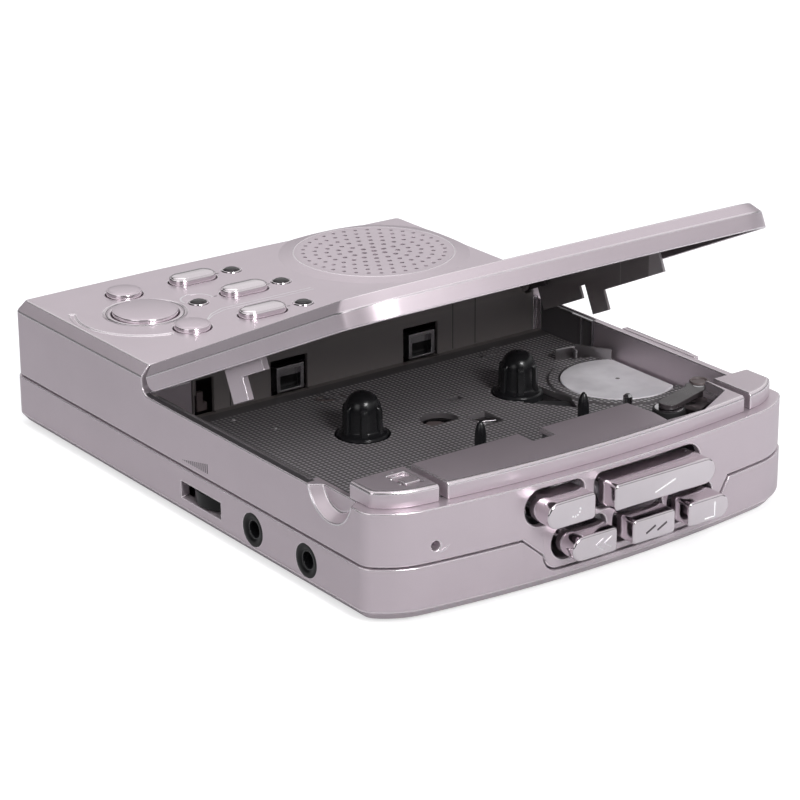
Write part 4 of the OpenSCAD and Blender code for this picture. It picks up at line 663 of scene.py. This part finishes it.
# Double line, dashes beside the lenses and a thin ring round the dial, on the panel
SUNK_Z = TOP_Z - 0.05
bm = bmesh.new()
for off in (0.0, 1.3):
    line = [(-30.0, 48.0), (-26.0, 51.0 + off * 0.7), (-22.0, 52.5 + off), (2.5, 52.5 + off)]
    add_strokes(bm, line, 0.3, SUNK_Z, TOP_Z + 0.03)
piece("panel_lines", bm, pale_mark_and_highlight, "case")
bm = bmesh.new()
for x, y in ((-8.7, 75.7), (-3.5, 61.9), (-8.6, 46.0), (-18.1, 61.9)):
    add_strokes(bm, [(x - 0.7, y), (x + 0.1, y)], 0.3, SUNK_Z, TOP_Z + 0.02)
add_strokes(bm, arc_points(DIAL, 8.9, 0, 360, 60), 0.16, SUNK_Z, TOP_Z + 0.012)
piece("panel_dashes", bm, mark, "case")

# A thin bead in the brighter silver round the edge of the grille's raised top: a painted highlight
bm = bmesh.new()
add_lathe(bm, GRILLE, [(19.22, 14.39), (19.32, 14.43), (19.45, 14.44), (19.58, 14.41), (19.72, 14.34)], 96)
piece("grille_edge_highlight", bm, silver_highlight, "case", smooth=True)

# Domed caps of the round buttons and the pills
for body, c, r, top in ROUND_BUTTONS:
    bm = bmesh.new()
    add_lathe(bm, c, [(r, top - 0.03), (r - 0.1, top + 0.06), (r * 0.86, top + 0.2), (r * 0.6, top + 0.34),
                      (r * 0.3, top + 0.42), (0.0, top + 0.45)], 48)
    piece(body + "_cap", bm, silver, body, smooth=True)
PILL_R = 3.0
PILL_HALF_LINE = 2.9
PILL_DOME = [(0.32, 14.97), (0.36, 15.06), (0.6, 15.24), (1.1, 15.42), (1.8, 15.53), (2.5, 15.56)]
for body, c in PILLS:
    bm = bmesh.new()
    loops = []
    for inset, z in PILL_DOME:
        ring = []
        for k in range(24):
            t = math.radians(-82.5 + 15 * k)
            end = PILL_HALF_LINE if math.cos(t) > 0 else -PILL_HALF_LINE
            ring.append(bm.verts.new(at(c[0] + end + (PILL_R - inset) * math.cos(t),
                                        c[1] + (PILL_R - inset) * math.sin(t), z)))
        loops.append(ring)
    join_loops(bm, loops)
    bm.faces.new(loops[-1])
    piece(body + "_cap", bm, chrome, body, smooth=True)

# Bright rings and dark domes of the four lenses, and the rim of the dish round the odd one
LENS_RING = [(1.95, 13.72), (1.98, 13.95), (2.1, 14.02), (2.25, 13.98), (2.34, 13.78)]
LENS_DOME = [(1.96, 13.86), (1.8, 14.1), (1.4, 14.32), (0.8, 14.46), (0.0, 14.5)]
for name, profile, material in (("lens_rings", LENS_RING, chrome), ("lens_domes", LENS_DOME, lens)):
    bm = bmesh.new()
    for c in LENSES:
        add_lathe(bm, c, profile, 32)
    piece(name, bm, material, "case", smooth=True)
bm = bmesh.new()
add_strokes(bm, arc_points(LENS_DISH, 3.8, -10, 200, 20), 0.45, SUNK_Z, TOP_Z + 0.05)
piece("lens_dish_rim", bm, pale_mark_and_highlight, "case")

# Wedge of bars over the volume wheel
BARS = 13
bm = bmesh.new()
for i in range(BARS):
    y = 16.0 - 0.8 * i
    add_prism(bm, [(y, -2.6), (y - 0.35, -2.6), (y - 0.35, -2.45 + 0.17 * i), (y, -2.5 + 0.17 * i)],
              LEFT_X - 0.015, LEFT_X + 0.1, on_side)
piece("volume_wedge", bm, mark, "case")

# Glossy collars of the jacks
COLLAR = [(3.84, -56.7), (3.84, -57.0), (3.6, -57.09), (3.0, -57.09), (2.5, -57.0), (2.1, -56.7),
          (1.84, -56.3)]
for name, y in JACKS:
    bm = bmesh.new()
    add_lathe(bm, (y, JACK_Z), COLLAR, 40, on_side)
    piece(name, bm, jack_black, "case", smooth=True)

# Deck floor: what shows in its holes, small studs, the bracket behind the motor and the oval hole, whose
# inside is a dark patch of painted shade
bm = bmesh.new()
lever = [(17.5, -5.5), (20.5, -3.2), (29.0, -9.6), (27.5, -15.6), (24.0, -14.6), (20.2, -10.4)]
add_prism(bm, lever, -2.2, -1.1)
piece("lever_under_slot", bm, basket, "case", bevel=0.15)
bm = bmesh.new()
add_strokes(bm, [(2.9, -7.5), (7.6, -9.4)], 1.5, -1.3, -0.35)
piece("link_in_slot", bm, bracket_metal, "case", bevel=0.15)
bm = bmesh.new()
add_prism(bm, [(-7.0, -4.6), (-0.5, -4.6), (-1.2, -1.0), (-3.4, 0.4), (-5.8, -0.9)], -2.3, -1.5)
piece("felt_in_hole", bm, brown, "case", bevel=0.15)
bm = bmesh.new()
for c in ((-39.1, 23.2), (-34.5, 13.7)):
    add_lathe(bm, c, [(0.45, 0.0), (0.42, 0.12), (0.25, 0.26), (0.0, 0.3)], 16)
piece("floor_studs", bm, pale_mark_and_highlight, "case", smooth=True)
bm = bmesh.new()
for p, q, high in (((40.9, 10.9), (45.9, 10.0), 2.6), ((45.9, 10.0), (50.4, 2.2), 3.0),
                   ((45.4, 10.1), (44.4, 7.6), 2.4)):
    add_strokes(bm, [p, q], 0.5, 0.0, high)
piece("motor_bracket", bm, bracket_metal, "case", bevel=0.12)
bm = bmesh.new()
turns = [math.radians(15 * i) for i in range(24)]
oval = [(-14.6 + 3.0 * math.cos(t) - 0.6 * math.sin(t), 21.3 + 1.6 * math.sin(t) - 0.8 * math.cos(t))
        for t in turns]
add_strokes(bm, oval + oval[:1], 0.4, 0.0, 0.35)
piece("oval_rim", bm, brown, "case", bevel=0.1)
# The oval hole's inside as a dark patch: painted shade
bm = bmesh.new()
add_prism(bm, round_points((-15.2, 20.9), 1.0, 1.0, 20), -0.02, 0.05)
piece("oval_hole_shade", bm, seam_and_hole_shade, "case")

# Painted highlight: a thin light strip along the rim of the thumb scoop
bm = bmesh.new()
add_strokes(bm, arc_points(SCOOP, SCOOP_R, 194, 152, 20), 0.24, LEFT_X - 0.06, LEFT_X + 0.3, on_side)
piece("scoop_rim_highlight", bm, pale_mark_and_highlight, "case", bevel=0.04)

# Crescent beside the microphone hole in the brighter silver, a painted highlight on the dish's edge, laid
# on the bowed face by rays from the front
CRESCENT_STEPS = 8
bm = bmesh.new()
arc = [(-43.12 + 2.24 * i / CRESCENT_STEPS,
        -1.97 + 1.08 * i / CRESCENT_STEPS - 0.25 * math.sin(math.pi * i / CRESCENT_STEPS))
       for i in range(CRESCENT_STEPS + 1)]
shell = NODES["top_case"].data
tree = BVHTree.FromPolygons([v.co for v in shell.vertices], [p.vertices for p in shell.polygons])
for i, (p, q) in enumerate(zip(arc, arc[1:])):
    middle = at((p[0] + q[0]) / 2, FRONT_Y - 20, (p[1] + q[1]) / 2)
    face_y = tree.ray_cast(middle, Vector((0, 1, 0)))[0].y / MM - SEAT.y
    width = 0.2 + 0.14 * min(i, CRESCENT_STEPS - 1 - i)
    add_prism(bm, stroke(p, q, width), face_y - 0.03, face_y + 0.2, on_front)
piece("dish_edge_highlight", bm, silver_highlight, "case")

# Dots beside the corner switch
bm = bmesh.new()
for c, r in (((-47.5, -44.6), 0.3), ((-47.5, -46.3), 0.42), ((-47.5, -49.1), 0.42), ((-45.2, -43.6), 0.3)):
    add_lathe(bm, c, [(r, PLATFORM_Z - 0.02), (r * 0.9, PLATFORM_Z + 0.05), (0.0, PLATFORM_Z + 0.07)], 14)
piece("switch_marks", bm, pale_mark_and_highlight, "case", smooth=True)

# Painted highlights: thin light strips on the edges where the right side wall steps, two upright and one
# lying
STEP_Y = 10.35
bm = bmesh.new()
for y in (14.3, STEP_Y):
    add_strokes(bm, [(SIDE_WALL_X, y), (SIDE_WALL_X, y + 0.34)], 0.22, 0.0, 7.35)
add_strokes(bm, [(SIDE_WALL_X, STEP_Y), (SIDE_WALL_X, 17.6)], 0.3, 7.1, 7.42)
piece("side_wall_edge_highlights", bm, pale_mark_and_highlight, "case")

# Seams of the deck's back wall and the bracket in its hinge window
bm = bmesh.new()
for x in BACK_WALL_SEAMS_X:
    add_strokes(bm, [(x - 0.09, BACK_WALL_Y), (x + 0.09, BACK_WALL_Y)], 0.08, 0.2, PLATFORM_Z)
piece("back_wall_seams", bm, seam_and_hole_shade, "case")
bm = bmesh.new()
add_prism(bm, [(-43.2, 0.3), (-40.6, 0.3), (-40.6, 2.2), (-41.6, 2.2), (-41.6, 4.8), (-43.2, 4.8)],
          31.4, 32.6, on_front)
piece("hinge_bracket", bm, brown, "case", bevel=0.15)

# Roller cap, the curved slot and the hole in the pinch arm's plate as dark patches of painted shade, and
# the boss on its fork
bm = bmesh.new()
add_lathe(bm, ROLLER, [(1.0, 6.6), (3.0, 6.6), (3.1, 6.64), (3.0, 6.7), (1.0, 6.72)], 36)
piece("roller_cap", bm, steel, "pinch_roller", smooth=True)
bm = bmesh.new()
add_strokes(bm, arc_points(ARM_PIVOT, 2.0, -20, 200, 14), 0.4, 4.9, 5.02)
add_prism(bm, round_points((38.2, -38.3), 1.3, 0.9, 20), 4.9, 5.03)
piece("arm_opening_shade", bm, seam_and_hole_shade, "pinch_arm")
bm = bmesh.new()
add_lathe(bm, ARM_PIVOT, [(0.0, 7.92), (1.6, 7.92), (1.75, 8.2), (2.1, 8.25), (2.2, 8.1), (2.2, 7.85)], 32)
piece("arm_boss", bm, brown, "pinch_arm", smooth=True)


# Stage: a white floor and a plain studio, in metres

FLOOR_HALF = 3.0
FLOOR_Z = -0.00005


def grey(v):
    return v, v, v, 1.0


class Tree:
    """Adds nodes to the tree of the floor or the world. Its axes split the coordinates linked to them."""

    def __init__(self, tree):
        self.t = tree
        self.axes = self.add("SeparateXYZ")

    def add(self, kind, **values):
        n = self.t.nodes.new("ShaderNode" + kind)
        for k, v in values.items():
            n.inputs[k].default_value = v
        return n

    def link(self, *pairs):
        for a, b in pairs:
            self.t.links.new(a, b)

    def blend(self, fac, a, b):
        """Shader b where fac is 1, and shader a elsewhere."""
        m = self.add("MixShader")
        self.link((fac, m.inputs["Fac"]), (a, m.inputs[1]), (b, m.inputs[2]))
        return m.outputs[0]

    def product(self, a, b):
        m = self.add("Mix")
        m.data_type = "RGBA"
        m.blend_type = "MULTIPLY"
        m.inputs[0].default_value = 1.0
        self.link((a, m.inputs[6]), (b, m.inputs[7]))
        return m.outputs[2]

    def follow(self, axis, start, end, low=0.0, smooth=False):
        """Rises from low to 1 between start and end of a coordinate."""
        m = self.add("MapRange")
        if smooth:
            m.interpolation_type = "SMOOTHSTEP"
        m.inputs["From Min"].default_value = start
        m.inputs["From Max"].default_value = end
        m.inputs["To Min"].default_value = low
        self.link((self.axes.outputs[axis], m.inputs["Value"]))
        return m.outputs[0]

    def tones(self, fac, stops):
        r = self.add("ValToRGB")
        els = r.color_ramp.elements
        while len(els) < len(stops):
            els.new(0.5)
        for el, (where, tone) in zip(els, stops):
            el.position = where
            el.color = grey(tone)
        self.link((fac, r.inputs["Fac"]))
        return r.outputs["Color"]


def make_world():
    """White to the camera, a grey studio in reflections, and even cool light for the rest."""
    world = bpy.data.worlds.new("studio")
    bpy.context.scene.world = world
    world.use_nodes = True
    w = Tree(world.node_tree)
    even = world.node_tree.nodes["Background"]
    even.inputs["Color"].default_value = (0.93, 0.95, 1.0, 1.0)
    even.inputs["Strength"].default_value = 0.5
    white = w.add("Background", Color=grey(1.0), Strength=1.0)
    studio = w.add("Background", Strength=0.85)
    path = w.add("LightPath")
    w.link((w.add("TexCoord").outputs["Generated"], w.axes.inputs[0]))
    bands = ((0.0, 0.25), (0.16, 0.3), (0.27, 0.75), (0.36, 1.0), (0.86, 1.0), (1.0, 0.5))
    sky = w.tones(w.axes.outputs[2], bands)
    ahead = w.follow(1, -0.6, 0.0, 0.7)
    flank = w.follow(0, -0.3, 0.3, 0.08, smooth=True)
    w.link((w.product(w.product(sky, ahead), flank), studio.inputs["Color"]))
    lit = w.blend(path.outputs["Is Glossy Ray"], even.outputs[0], studio.outputs[0])
    seen = w.blend(path.outputs["Is Camera Ray"], lit, white.outputs[0])
    w.link((seen, world.node_tree.nodes["World Output"].inputs["Surface"]))


def floor_material():
    """White to the camera with the object's shadow; greyer on the left in light and reflections."""
    material = bpy.data.materials.new("stage_white")
    material.use_nodes = True
    f = Tree(material.node_tree)
    body = material.node_tree.nodes["Principled BSDF"]
    body.inputs["Roughness"].default_value = 0.9
    f.link((f.add("TexCoord").outputs["Object"], f.axes.inputs[0]))
    tone = f.tones(f.follow(0, -0.25, 0.2, smooth=True), ((0.0, 0.36), (1.0, 0.75)))
    f.link((tone, body.inputs["Base Color"]))
    glow = f.add("Emission", Color=grey(1.0), Strength=0.6)
    lit = f.add("BsdfDiffuse", Color=grey(0.55))
    seen = f.add("AddShader")
    f.link((glow.outputs[0], seen.inputs[0]), (lit.outputs[0], seen.inputs[1]))
    mixed = f.blend(f.add("LightPath").outputs["Is Camera Ray"], body.outputs[0], seen.outputs[0])
    f.link((mixed, material.node_tree.nodes["Material Output"].inputs["Surface"]))
    return material


make_world()
floor_mesh = bpy.data.meshes.new("floor")
corners = ((-1, -1), (1, -1), (1, 1), (-1, 1))
floor_mesh.from_pydata([(x * FLOOR_HALF, y * FLOOR_HALF, FLOOR_Z) for x, y in corners], [], [(0, 1, 2, 3)])
floor = bpy.data.objects.new("floor", floor_mesh)
bpy.context.scene.collection.objects.link(floor)
floor.data.materials.append(floor_material())


def lamp(name, place, aim, size, power):
    """A square area lamp of size metres and power watts that looks at aim."""
    d = bpy.data.lights.new(name, "AREA")
    d.energy = power
    d.shape = "SQUARE"
    d.size = size
    o = bpy.data.objects.new(name, d)
    bpy.context.scene.collection.objects.link(o)
    o.location = place
    o.rotation_euler = (Vector(aim) - Vector(place)).to_track_quat("-Z", "Y").to_euler()


lamp("key_lamp", (-0.25, 0.1, 0.9), (0.0, 0.0, 0.02), 1.4, 5.4)
lamp("front_lamp", (0.1, -0.95, 0.3), (0.0, 0.0, 0.03), 0.5, 0.2)
lamp("deck_lamp", (-0.12, -0.85, 0.62), (0.01, -0.02, 0.02), 0.3, 6.2)
lamp("side_lamp", (-0.9, -0.3, 0.4), (0.0, 0.0, 0.02), 0.5, 1.1)
